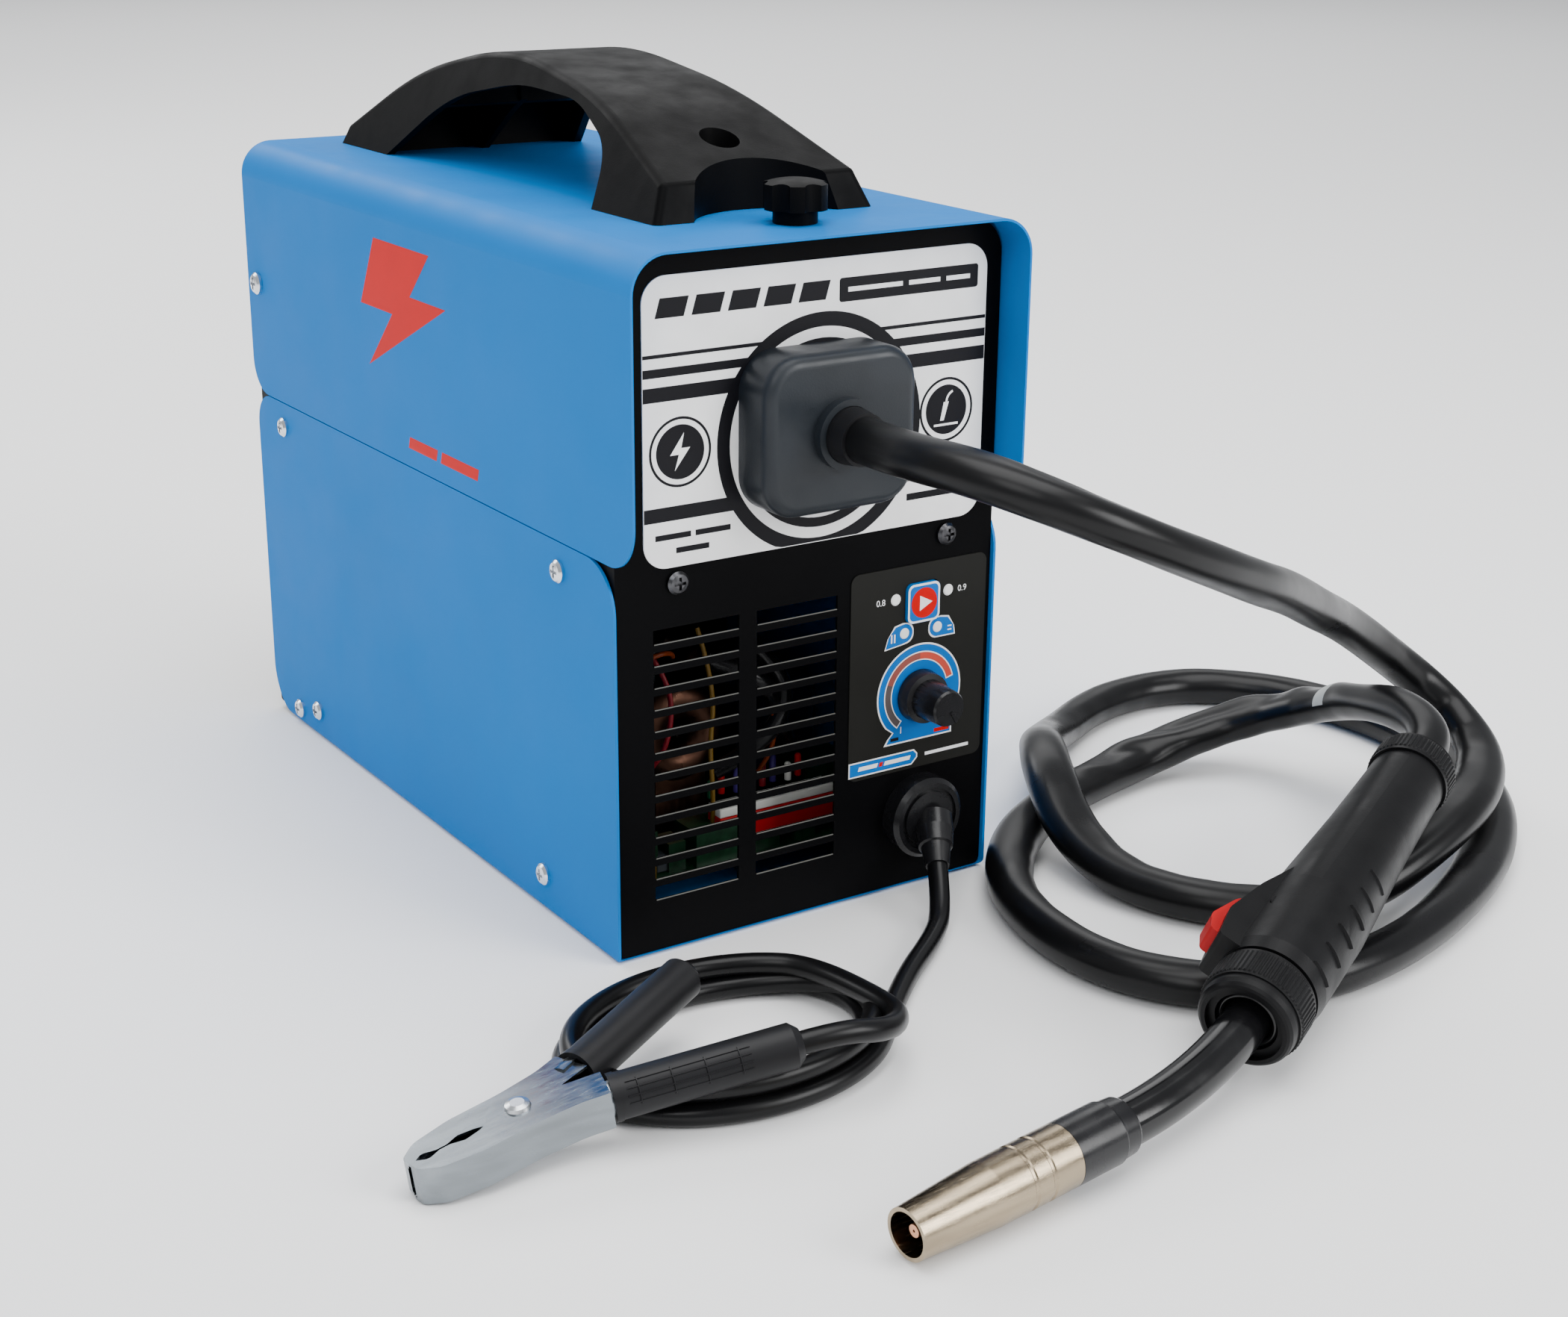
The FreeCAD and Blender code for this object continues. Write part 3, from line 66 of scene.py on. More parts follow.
def make_camera():
    data = bpy.data.cameras.new("camera")
    data.lens = CAMERA_LENS
    data.sensor_width = SENSOR_WIDTH
    camera = bpy.data.objects.new("camera", data)
    back = Vector((math.sin(CAMERA_AZIMUTH) * math.cos(CAMERA_ELEVATION),
                   -math.cos(CAMERA_AZIMUTH) * math.cos(CAMERA_ELEVATION), math.sin(CAMERA_ELEVATION)))
    level = Vector((math.cos(CAMERA_AZIMUTH), math.sin(CAMERA_AZIMUTH), 0))
    right = Matrix.Rotation(CAMERA_ROLL, 3, back) @ level
    up = back.cross(right)
    camera.matrix_world = Matrix((right, up, back)).transposed().to_4x4()
    camera.location = CAMERA_PLACE
    COLLECTION.objects.link(camera)
    bpy.context.scene.camera = camera


def area_light(name, place, target, size, power):
    data = bpy.data.lights.new(name, "AREA")
    data.shape = "RECTANGLE"
    data.size, data.size_y = size
    data.energy = power
    light = bpy.data.objects.new(name, data)
    light.location = place
    light.rotation_euler = (Vector(target) - Vector(place)).to_track_quat("-Z", "Y").to_euler()
    COLLECTION.objects.link(light)


def make_floor():
    mesh = bpy.data.meshes.new("floor")
    reach = FLOOR_REACH
    corners = [(-reach, -reach, 0), (reach, -reach, 0), (reach, reach, 0), (-reach, reach, 0)]
    mesh.from_pydata(corners, [], [(0, 1, 2, 3)])
    floor = bpy.data.objects.new("floor", mesh)
    floor.location.z = -FLOOR_DROP
    COLLECTION.objects.link(floor)
    floor.data.materials.append(Finish("floor_pale", (0.92, 0.92, 0.92), 0.7).material)


def make_studio():
    world = bpy.data.worlds.new("studio")
    world.use_nodes = True
    background = world.node_tree.nodes["Background"]
    background.inputs["Color"].default_value = WORLD_COLOUR
    background.inputs["Strength"].default_value = WORLD_STRENGTH
    bpy.context.scene.world = world
    for light in LIGHTS:
        area_light(*light)
    make_floor()


# ---- materials -----------------------------------------------------------------------------------
NOISE_LOW, NOISE_HIGH = 0.3, 0.7  # most of a noise texture lies between these


class Finish:
    """A Principled material with noise for its colour, gloss and relief, in object coordinates."""

    def __init__(self, name, colour, roughness, **sockets):
        self.material = bpy.data.materials.new(name)
        self.material.use_nodes = True
        self.tree = self.material.node_tree
        self.shader = self.tree.nodes["Principled BSDF"]
        self.colour = colour
        self.shader.inputs["Base Color"].default_value = (*colour, 1)
        self.shader.inputs["Roughness"].default_value = roughness
        for socket, value in sockets.items():
            self.shader.inputs[socket.replace("_", " ")].default_value = value
        self.place = self.tree.nodes.new("ShaderNodeTexCoord")
        self.height = None

    def link(self, start, end):
        self.tree.links.new(start, end)

    def stretched(self, stretch):
        mapping = self.tree.nodes.new("ShaderNodeMapping")
        mapping.inputs["Scale"].default_value = stretch
        self.link(self.place.outputs["Object"], mapping.inputs["Vector"])
        return mapping.outputs["Vector"]

    def noise(self, scale, detail=3.0, stretch=(1, 1, 1)):
        texture = self.tree.nodes.new("ShaderNodeTexNoise")
        texture.inputs["Scale"].default_value = scale
        texture.inputs["Detail"].default_value = detail
        self.link(self.stretched(stretch), texture.inputs["Vector"])
        return texture.outputs["Fac"]

    def ramp(self, fac, stops):
        ramp = self.tree.nodes.new("ShaderNodeValToRGB")
        elements = ramp.color_ramp.elements
        while len(elements) < len(stops):
            elements.new(0.5)
        for element, (place, colour) in zip(elements, stops):
            element.position = place
            element.color = (*colour, 1)
        self.link(fac, ramp.inputs["Fac"])
        return ramp.outputs["Color"]

    def mottle(self, scale, low, high, detail=4.0, stretch=(1, 1, 1)):
        """The colour drifts between low and high times itself."""
        shades = [tuple(min(1.0, c * f) for c in self.colour) for f in (low, high)]
        fac = self.noise(scale, detail, stretch)
        stops = [(NOISE_LOW, shades[0]), (NOISE_HIGH, shades[1])]
        self.link(self.ramp(fac, stops), self.shader.inputs["Base Color"])
        return self

    def gloss(self, scale, low, high, detail=4.0, stretch=(1, 1, 1)):
        """The roughness drifts from low to high."""
        span = self.tree.nodes.new("ShaderNodeMapRange")
        span.inputs["From Min"].default_value = NOISE_LOW
        span.inputs["From Max"].default_value = NOISE_HIGH
        span.inputs["To Min"].default_value = low
        span.inputs["To Max"].default_value = high
        self.link(self.noise(scale, detail, stretch), span.inputs["Value"])
        self.link(span.outputs["Result"], self.shader.inputs["Roughness"])
        return self

    def relief(self, scale, depth, strength=1.0, detail=3.0, stretch=(1, 1, 1)):
        """Adds bumps about 1/scale metres across and depth metres deep."""
        bump = self.tree.nodes.new("ShaderNodeBump")
        bump.inputs["Distance"].default_value = depth
        bump.inputs["Strength"].default_value = strength
        self.link(self.noise(scale, detail, stretch), bump.inputs["Height"])
        if self.height is not None:
            self.link(self.height, bump.inputs["Normal"])
        self.height = bump.outputs["Normal"]
        self.link(self.height, self.shader.inputs["Normal"])
        return self


def powder_coat(name, colour, roughness, peel, shine):
    finish = Finish(name, colour, roughness, Specular_IOR_Level=shine)
    finish.mottle(9, 0.96, 1.03).gloss(40, roughness - 0.05, roughness + 0.07)
    return finish.relief(700, peel, 0.5, 2).relief(6, 0.0006, 0.1, 1)


def moulded(name, colour, roughness, grain=0.00006, shine=0.35):
    finish = Finish(name, colour, roughness, Specular_IOR_Level=shine)
    finish.mottle(25, 0.8, 1.25).gloss(60, roughness - 0.08, roughness + 0.1)
    return finish.relief(1600, grain, 0.6, 2).relief(70, 0.0002, 0.15)


def rubber(name, colour, roughness, shine=0.4):
    finish = Finish(name, colour, roughness, Specular_IOR_Level=shine)
    finish.mottle(18, 0.7, 1.4).gloss(22, roughness - 0.06, roughness + 0.08)
    return finish.relief(1100, 0.00003, 0.3).relief(60, 0.00015, 0.1, 1)


def metal(name, colour, roughness, brush=(1, 1, 1), scratches=0.00003):
    finish = Finish(name, colour, roughness, Metallic=1.0)
    finish.mottle(30, 0.8, 1.1, 5, brush).gloss(120, roughness - 0.08, roughness + 0.14, 5, brush)
    return finish.relief(1500, scratches, 0.5, 5, brush)


def printed(name, colour, roughness=0.4, shine=0.3):
    finish = Finish(name, colour, roughness, Specular_IOR_Level=shine)
    return finish.mottle(60, 0.96, 1.04).relief(1200, 0.00002, 0.3)


def insulation(name, colour):
    return moulded(name, colour, 0.4, 0.00002)


FINISHES = {
    "blue": powder_coat("blue_powder_coat", (0.0, 0.16, 0.5), 0.36, 0.00003, 0.02),
    "black": powder_coat("black_powder_coat", (0.002, 0.002, 0.0024), 0.42, 0.00005, 0.04),
    "plastic": moulded("black_moulding", (0.003, 0.003, 0.0032), 0.44, shine=0.04),
    "grip": moulded("grip_moulding", (0.004, 0.004, 0.0045), 0.4, shine=0.14),
    "glossy_plastic": moulded("glossy_black_moulding", (0.006, 0.006, 0.007), 0.26, 0.00002),
    "housing": moulded("grey_black_moulding", (0.01, 0.013, 0.017), 0.4, shine=0.32),
    "rubber": rubber("soft_rubber", (0.006, 0.006, 0.007), 0.42, 0.22),
    "sheath": rubber("cable_sheath", (0.003, 0.003, 0.0034), 0.3, 0.22),
    "zinc": metal("bright_zinc", (0.75, 0.77, 0.8), 0.2),
    "black_zinc": metal("black_zinc", (0.08, 0.08, 0.085), 0.3),
    "sheet": metal("plated_sheet", (0.24, 0.265, 0.285), 0.16, (1, 6, 6), 0.00002)
    .relief(24, 0.0012, 0.4, 1),
    "steel": metal("machined_steel", (0.5, 0.5, 0.5), 0.3, (1, 12, 12)),
    "aluminium": metal("extruded_aluminium", (0.7, 0.71, 0.72), 0.35, (1, 1, 12)),
    "copper": metal("turned_copper", (0.8, 0.4, 0.24), 0.28),
    "brass": metal("turned_brass", (0.75, 0.56, 0.28), 0.25),
    "nozzle": metal("nickelled_nozzle", (0.36, 0.29, 0.2), 0.17, (1, 9, 9), 0.00004),
    "neck": moulded("neck_sleeve", (0.004, 0.004, 0.0045), 0.18, 0.00001),
    "white_film": printed("white_film", (0.9, 0.9, 0.9)),
    "black_film": printed("black_print", (0.004, 0.004, 0.006), 0.45, 0.15),
    "overlay": printed("dark_film", (0.009, 0.009, 0.0075), 0.5, 0.15),
    "blue_film": printed("blue_print", (0.0, 0.13, 0.47), 0.4, 0.1),
    "red_film": printed("red_print", (0.55, 0.0, 0.002), 0.4, 0.06),
    "grey_film": printed("grey_print", (0.09, 0.07, 0.07)),
    "brown_film": printed("brown_print", (0.26, 0.07, 0.055)),
    "rust_film": printed("rust_print", (0.55, 0.06, 0.035)),
    "paper": printed("paper_label", (0.42, 0.43, 0.4), 0.6),
    # a lighter grey with a shine, for the strips along the grille slots: painted highlight on each slot's
    # lip
    "slot_lip_highlight": printed("slot_lip_painted_highlight", (0.11, 0.11, 0.1), 0.35, 0.5),
    "lens": Finish("lens", (0.95, 0.95, 0.93), 0.25).mottle(300, 0.97, 1.0),
    "red": moulded("red_moulding", (0.42, 0.004, 0.007), 0.4, 0.00003, 0.15),
    # circuit board: its own green, darkened as painted shade for the dim inside of the case
    "board": Finish("circuit_board", (0.003, 0.028, 0.01), 0.4).mottle(250, 0.6, 1.5, 6)
    .relief(600, 0.0001, 0.4),
    # transformer winding: its own copper brown, darkened as painted shade for the dim inside of the case
    "winding": metal("enamelled_winding", (0.09, 0.045, 0.03), 0.35, (4, 4, 1)),
    "can": moulded("sleeved_can", (0.012, 0.014, 0.03), 0.3),
    "white_plastic": moulded("white_moulding", (0.75, 0.75, 0.7), 0.4),
    "grey_plastic": moulded("grey_moulding", (0.06, 0.07, 0.08), 0.4),
    # wire insulation, yellow to violet: their own colours, darkened as painted shade for the dim inside of
    # the case
    "yellow": insulation("yellow_insulation", (0.17, 0.095, 0.008)),
    "orange": insulation("orange_insulation", (0.22, 0.035, 0.004)),
    "red_wire": insulation("red_insulation", (0.25, 0.005, 0.015)),
    "green": insulation("green_insulation", (0.01, 0.1, 0.04)),
    "violet": insulation("violet_insulation", (0.05, 0.03, 0.2)),
}

NODE_FINISH = {
    "blue": ["lower_shell", "hood", "select_button"],
    "black": ["front_panel", "rear_panel", "mid_shelf"],
    "zinc": ["case_screws", "handle_screws", "knob_stud", "clamp_rivet"],
    "plastic": ["handle", "star_knob", "mains_gland", "fan_frame", "fan_rotor", "spool_hub"],
    "glossy_plastic": ["earth_outlet", "switch_housing", "rocker", "dial_knob", "nozzle_insulator"],
    "housing": ["outlet_housing"],
    "rubber": ["torch_boot", "clamp_sleeve_lower", "clamp_sleeve_upper"],
    "grip": ["torch_grip_left", "torch_grip_right", "torch_front_ring", "torch_rear_ring"],
    "white_film": ["label_plate"],
    "overlay": ["control_overlay"],
    "lens": ["indicator_lenses"],
    "board": ["control_board", "main_board"],
    "aluminium": ["heatsink"],
    "winding": ["transformer"],
    "can": ["capacitors"],
    "sheet": ["feeder_plate", "pressure_arm", "clamp_arm_lower", "clamp_arm_upper"],
    "steel": ["drive_roll", "pressure_roll", "feed_motor", "torch_trigger_pin", "clamp_spring",
              "tension_spring", "weld_wire", "wire_winding"],
    "white_plastic": ["wire_spool"],
    "red": ["torch_trigger", "tension_knob"],
    "neck": ["swan_neck"],
    "brass": ["tip_holder"],
    "copper": ["contact_tip"],
    "nozzle": ["nozzle"],
}


CAD_SHARP_ANGLE = 32
FRONT_SCREWS_Y = -0.17
FRONT_SCREWS_HALF_WIDTH = 0.08


def shade_smooth(mesh, sharp_angle):
    """Smooth shading, with edges sharper than the angle, in degrees, left crisp."""
    mesh.polygons.foreach_set("use_smooth", [True] * len(mesh.polygons))
    mesh.set_sharp_from_angle(angle=math.radians(sharp_angle))


def finish_nodes():
    for finish, names in NODE_FINISH.items():
        for name in names:
            mesh = NODES[name].data
            mesh.materials.clear()
            mesh.materials.append(FINISHES[finish].material)
            shade_smooth(mesh, CAD_SHARP_ANGLE)
    screws = NODES["case_screws"].data
    screws.materials.append(FINISHES["black_zinc"].material)
    for face in screws.polygons:
        if face.center.y < FRONT_SCREWS_Y and abs(face.center.x) < FRONT_SCREWS_HALF_WIDTH:
            face.material_index = 1


# ---- mesh helpers --------------------------------------------------------------------------------
def add_piece(name, mesh, finish, body, smooth=None):
    """A mesh becomes a piece of the object: it gets its finish and its body."""
    piece = bpy.data.objects.new(name, mesh)
    COLLECTION.objects.link(piece)
    mesh.materials.append(FINISHES[finish].material)
    if smooth is not None:
        shade_smooth(mesh, smooth)
    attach(piece, body)
    return piece


def join_rings(build, one, two):
    """The row of faces between two rings of as many points."""
    after = [*range(1, len(one)), 0]
    return [build.faces.new((one[i], one[j], two[j], two[i])) for i, j in enumerate(after)]


def join_all(build, rings):
    for one, two in zip(rings, rings[1:]):
        join_rings(build, one, two)


def close_ends(build, rings):
    build.faces.new(rings[0][::-1])
    build.faces.new(rings[-1])


def finished_mesh(name, build):
    """The built faces as a mesh, all facing outwards, with the large flat ones cut into triangles."""
    bmesh.ops.recalc_face_normals(build, faces=build.faces)
    bmesh.ops.triangulate(build, faces=[f for f in build.faces if len(f.verts) > 4])
    mesh = bpy.data.meshes.new(name)
    build.to_mesh(mesh)
    build.free()
    return mesh


def arc(centre, radius, start, end, count):
    """Points on a circle, from start to end degrees, anticlockwise from +u."""
    step = (end - start) / count
    turns = [math.radians(start + step * i) for i in range(count + 1)]
    return [(centre[0] + radius * math.cos(t), centre[1] + radius * math.sin(t)) for t in turns]


def rounded_box(u0, u1, v0, v1, radius, count=6):
    corners = [((u1 - radius, v0 + radius), -90), ((u1 - radius, v1 - radius), 0),
               ((u0 + radius, v1 - radius), 90), ((u0 + radius, v0 + radius), 180)]
    return [p for centre, start in corners for p in arc(centre, radius, start, start + 90, count)]


def band(centre, outer, inner, start=0, end=360, count=72):
    return arc(centre, outer, start, end, count) + arc(centre, inner, end, start, count)


def front_point(u, v, w):
    """u is X and v is Z, w stands out of a front face towards -Y. All in millimetres."""
    return Vector((u, -w, v)) * MM


def left_point(u, v, w):
    """u is Y and v is Z, w stands out of the left side towards -X."""
    return Vector((-w, u, v)) * MM


def plate_mesh(name, outlines, place, base, thickness):
    """Thin plates of the outlines, from base to base + thickness along the face's outward direction."""
    build = bmesh.new()
    for outline in outlines:
        low = [build.verts.new(place(u, v, base)) for u, v in outline]
        high = [build.verts.new(place(u, v, base + thickness)) for u, v in outline]
        close_ends(build, [low, high])
        join_rings(build, low, high)
    return finished_mesh(name, build)


def print_on(name, outlines, place, base, finish, body="case", thickness=0.08):
    return add_piece(name, plate_mesh(name, outlines, place, base, thickness), finish, body)


# ---- cords ---------------------------------------------------------------------------------------
TORCH_ROUTE = [
    # listed from the outlet to the torch, in millimetres
    (0, -206, 206), (0, -235, 206), (6, -263, 206), (20, -284, 200), (45, -297, 188), (82, -298, 171),
    (125, -286, 152), (168, -262, 134), (210, -238, 114), (250, -217, 95), (286, -206, 74),
    (312, -207, 55), (323, -223, 40), (315, -246, 31), (293, -267, 28), (262, -284, 27.5),
    (228, -293, 21), (193, -297, 12), (157, -292, 9), (129, -266, 9), (117, -230, 9), (121, -193, 17),
    (134, -162, 30), (152, -136, 30), (173, -110, 18), (203, -85, 9), (243, -65, 9), (286, -60, 9),
    (320, -77, 9), (342, -109, 9), (350, -149, 9), (346, -190, 9), (331, -230, 9), (307, -262, 9),
    (275, -290, 9), (239, -312, 9), (200, -329, 9), (160, -340, 9), (118, -341, 9), (82, -326, 9),
    (61, -296, 9), (58, -258, 9), (68, -221, 9), (89, -191, 9), (116, -168, 9), (148, -151, 9),
    (182, -140, 9), (217, -134, 11), (246, -138, 18), (266, -154, 27), (274, -177, 37), (271, -202, 48),
    (261, -227, 58), (251, -248, 65), (243, -268, 68.5), (235, -284, 67.5), (226, -293, 65),
    (213.6, -298.7, 62),
]
TORCH_CABLE = 18.0
EARTH_LEAD = 8.5
EARTH_EXIT = (47.5, -197, 18.5)
CLAMP_CENTRE = Vector((-188, -281, 13.4))
CLAMP_TURN = math.radians(5.0)
CLAMP_PITCH = math.radians(8.5)
CLAMP_HANDLE_ANGLE = math.radians(19.5)
CLAMP_SLEEVE_RADIUS = 8.2
CLAMP_SLEEVE_END = 99.0  # from the clamp's centre along its lower handle
CLAMP_AHEAD = Vector((math.cos(CLAMP_TURN) * math.cos(CLAMP_PITCH),
                      math.sin(CLAMP_TURN) * math.cos(CLAMP_PITCH), math.sin(CLAMP_PITCH)))
CLAMP_ACROSS = Vector((-math.sin(CLAMP_TURN), math.cos(CLAMP_TURN), 0))
HANDLE_LINE = CLAMP_AHEAD * math.cos(CLAMP_HANDLE_ANGLE) - CLAMP_ACROSS * math.sin(CLAMP_HANDLE_ANGLE)
SLEEVE_END = CLAMP_CENTRE + HANDLE_LINE * CLAMP_SLEEVE_END
BEYOND_SLEEVE = CLAMP_CENTRE + HANDLE_LINE * (CLAMP_SLEEVE_END + 15)


def spline(name, route, diameter=0.0):
    """An open curve of one NURBS spline that has the route, in millimetres, as its control points."""
    data = bpy.data.curves.new(name, "CURVE")
    data.dimensions = "3D"
    data.resolution_u = 12
    data.bevel_depth = diameter / 2 * MM
    data.bevel_resolution = 6
    data.use_fill_caps = True
    line = data.splines.new("NURBS")
    line.points.add(len(route) - 1)
    for point, place in zip(line.points, route):
        point.co = (*(Vector(place) * MM), 1)
    line.order_u = 3
    line.use_endpoint_u = True
    line.use_smooth = True
    piece = bpy.data.objects.new(name, data)
    COLLECTION.objects.link(piece)
    return piece


def even_line(route, step):
    """Points a step apart, in millimetres, along the route's smooth line."""
    guide = spline("guide", route)
    mesh = bpy.data.meshes.new_from_object(guide)
    places = [v.co / MM for v in mesh.vertices]
    bpy.data.objects.remove(guide)
    line = [places[0]]
    for place in places[1:]:
        while (place - line[-1]).length >= step:
            line.append(line[-1] + (place - line[-1]).normalized() * step)
    return line


SLACK = [
    # start, end, widening, creases: where the soft sleeve lies flat and wrinkles, in shares of its length
    (0.0, 0.11, 3.0, 0.1), (0.235, 0.345, 3.6, 0.2), (0.34, 0.43, 2.6, 0.15), (0.46, 0.58, 1.5, 0.3),
    (0.56, 0.68, 3.0, 0.2), (0.7, 0.78, 1.0, 0.15), (0.79, 0.86, 1.6, 0.7), (0.855, 0.965, 4.1, 2.0),
]


def slack_at(share):
    """How much wider and more wrinkled than a plain round tube the sleeve is here."""
    wide = crease = 0.0
    for start, end, widening, creases in SLACK:
        middle, half = (start + end) / 2, (end - start) / 2
        weight = max(0.0, 1 - (abs(share - middle) / (half * 1.25)) ** 2) ** 1.5
        wide += widening * weight
        crease += creases * weight
    return wide, crease


SLEEVE_STEP = 2.0  # millimetres between its rings
SLEEVE_SIDES = 48
BEND_REACH = 5  # rings to each side that a bend is measured over
EASE_IN, EASE_OUT = 14, 8  # rings at its two ends over which the slack fades
BEND_GAIN = 40
LOWEST = 0.15
PAPER_TAG = Vector((271, -202, 48))
TAG_HALF_WIDTH = 5.5
TAG_SHARE = 0.62  # how far round the paper tag goes


def sleeve_radius(plain, along, turn, inside, wide, crease, tight, ease):
    """The radius at a spot: flattened where it is slack, wrinkled on top, creased inside its bends."""
    radius = plain + wide * math.cos(turn) ** 2 - 0.35 * wide * math.sin(turn) ** 2
    wave = math.sin(along / 6.4 + 1.7 * math.sin(along / 21.0) + 1.6 * math.sin(turn - 0.6))
    dent = math.sin(along / 13.0 + 2 * turn + 1.5 * math.sin(along / 31.0))
    upper = max(0.0, math.sin(turn) + 0.4) / 1.4
    radius += crease * upper * (0.55 * wave * (0.5 + 0.5 * dent) + 0.55 * dent)
    radius += tight * inside * (0.25 * math.sin(along / 3.6 + 2 * math.sin(along / 37.0)) - 0.8 * inside)
    radius += ease * 0.2 * math.sin(along / 23.0 + 2 * turn) * math.sin(along / 41.0 + turn)
    return radius


def soft_hose(name, route, diameter):
    """A hose in a soft sleeve, plain at both ends, with a paper tag round one place."""
    line = even_line(route, SLEEVE_STEP)
    count = len(line)
    last = count - 1
    tangents = [(line[min(i + 1, last)] - line[max(i - 1, 0)]).normalized() for i in range(count)]
    build = bmesh.new()
    rings = []
    for i, (place, tangent) in enumerate(zip(line, tangents)):
        turned = tangents[min(i + BEND_REACH, last)] - tangents[max(i - BEND_REACH, 0)]
        bend = turned / (2 * BEND_REACH * SLEEVE_STEP)
        level = tangent.cross(Vector((0, 0, 1))).normalized()
        upward = level.cross(tangent)
        ease = min(1.0, i / EASE_IN, (last - i) / EASE_OUT)
        wide, crease = slack_at(i / count)
        tight = ease * min(1.0, bend.length * BEND_GAIN)
        ring = []
        for j in range(SLEEVE_SIDES):
            turn = 2 * math.pi * j / SLEEVE_SIDES
            outward = level * math.cos(turn) + upward * math.sin(turn)
            inside = max(0.0, outward.dot(bend.normalized())) if bend.length > 1e-4 else 0.0
            radius = sleeve_radius(diameter / 2, i * SLEEVE_STEP, turn, inside, wide * ease, crease * ease,
                                   tight, ease)
            spot = place + outward * radius
            spot.z = max(spot.z, LOWEST)
            ring.append(build.verts.new(spot * MM))
        rings.append(ring)
    for place, one, two in zip(line, rings, rings[1:]):
        tagged = (place - PAPER_TAG).length < TAG_HALF_WIDTH
        for j, face in enumerate(join_rings(build, one, two)):
            face.material_index = int(tagged and j < SLEEVE_SIDES * TAG_SHARE)
    close_ends(build, rings)
    return finished_mesh(name, build), [place * MM for place in line]


TURN_STEPS = 14
TURN_START = -48.0
TURN_EASE = 0.7
TURNS = [
    # centre, half axes and height of each loose turn, which eases into the next from TURN_EASE on
    ((-92, -256), (63.5, 48.0), 4.6),
    ((-90, -255), (54.5, 39.0), 4.8),
    ((-93, -257), (60.0, 44.5), 13.0),
]


def earth_route():
    """From the outlet along the floor, clockwise round the loose turns and into the clamp's lower sleeve."""
    route = [EARTH_EXIT, (38.0, -213.3, 6.1), (22, -228, 4.6), (-4, -247, 4.6), (-30, -271, 4.6)]
    for turn, ((x, y), (a, b), z) in enumerate(TURNS):
        following = TURNS[min(turn + 1, len(TURNS) - 1)]
        last = turn == len(TURNS) - 1
        for i in range(TURN_STEPS - 2 if last else TURN_STEPS):
            share = i / TURN_STEPS
            ease = max(0.0, share - TURN_EASE) / (1 - TURN_EASE)
            angle = math.radians(TURN_START - 360 * share)
            wide = a + (following[1][0] - a) * ease
            deep = b + (following[1][1] - b) * ease
            height = z + (following[2] - z) * ease
            route.append((x + wide * math.cos(angle), y + deep * math.sin(angle), height))
    route += [(-36, -282, 15), (-46, -299, 19), (-61, -310, 25), BEYOND_SLEEVE, SLEEVE_END]
    return route


def make_cords():
    mesh, path = soft_hose("torch_cable_sleeve", TORCH_ROUTE, TORCH_CABLE)
    cable = add_piece("torch_cable_sleeve", mesh, "sheath", "case", 60)
    mesh.materials.append(FINISHES["paper"].material)
    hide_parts("torch_cable")
    lead = spline("earth_lead", earth_route(), EARTH_LEAD)
    lead.data.materials.append(FINISHES["sheath"].material)
    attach(lead, "case")
    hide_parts("earth_lead_drop", "earth_lead_coil", "earth_lead_tail")


# ---- printed graphics and small fittings ---------------------------------------------------------
LABEL = 172.88
OVERLAY = 172.78
BUTTON_FACE = 174.2
HOOD_SIDE = 90.0
HOOD_PRINT = HOOD_SIDE - 0.02
SLOT_EDGE = 172.15
SLOTS = 13
SLOT_PITCH = 8.8


def slanted(u0, u1, v0, v1, lean=0.0):
    return [(u0, v0), (u1, v0), (u1 + lean, v1), (u0 + lean, v1)]


def clear_of_ring(v0, v1, radius=44.0, centre=(3.0, 201.5), ends=(-75.8, 80.8)):
    """The two bars of a stripe that stops on the ring."""
    half = math.sqrt(radius ** 2 - ((v0 + v1) / 2 - centre[1]) ** 2)
    return [slanted(ends[0], centre[0] - half, v0, v1), slanted(centre[0] + half, ends[1], v0, v1)]


def cut_band(centre, outer, inner, lowest, count=96):
    """A ring whose outer edge is cut level at its lowest height."""
    rim = []
    for u, v in arc(centre, outer, -90, 270, count):
        if v < lowest:
            drop = (lowest - centre[1]) / (v - centre[1])
            u, v = centre[0] + (u - centre[0]) * drop, lowest
        rim.append((u, v))
    return rim + arc(centre, inner, 270, -90, count)


CAPITAL_SHARE = 0.7  # a numeral's height in its font size
LETTER_THICKNESS = 0.08


def numerals(name, text, height, left, bottom, rise, finish):
    """Plain numerals of a height, standing on the overlay."""
    data = bpy.data.curves.new(name, "FONT")
    data.body = text
    data.size = height / CAPITAL_SHARE
    data.extrude = LETTER_THICKNESS / 2
    data.resolution_u = 4
    source = bpy.data.objects.new(name + "_source", data)
    COLLECTION.objects.link(source)
    mesh = bpy.data.meshes.new_from_object(source)
    mesh.materials.clear()
    bpy.data.objects.remove(source)
    for vertex in mesh.vertices:
        x, y, z = vertex.co
        vertex.co = front_point(left + x, bottom + y, OVERLAY + rise + z + LETTER_THICKNESS / 2)
    return add_piece(name, mesh, finish, "case")


def on_label(name, outlines, finish="black_film", rise=0.0, thickness=0.08):
    return print_on(name, outlines, front_point, LABEL + rise, finish, thickness=thickness)


def on_overlay(name, outlines, finish, rise=0.0, thickness=0.05):
    return print_on(name, outlines, front_point, OVERLAY + rise, finish, "case", thickness)


def on_button(name, outlines, finish, rise=0.0):
    return print_on(name, outlines, front_point, BUTTON_FACE + rise, finish, "select_button")


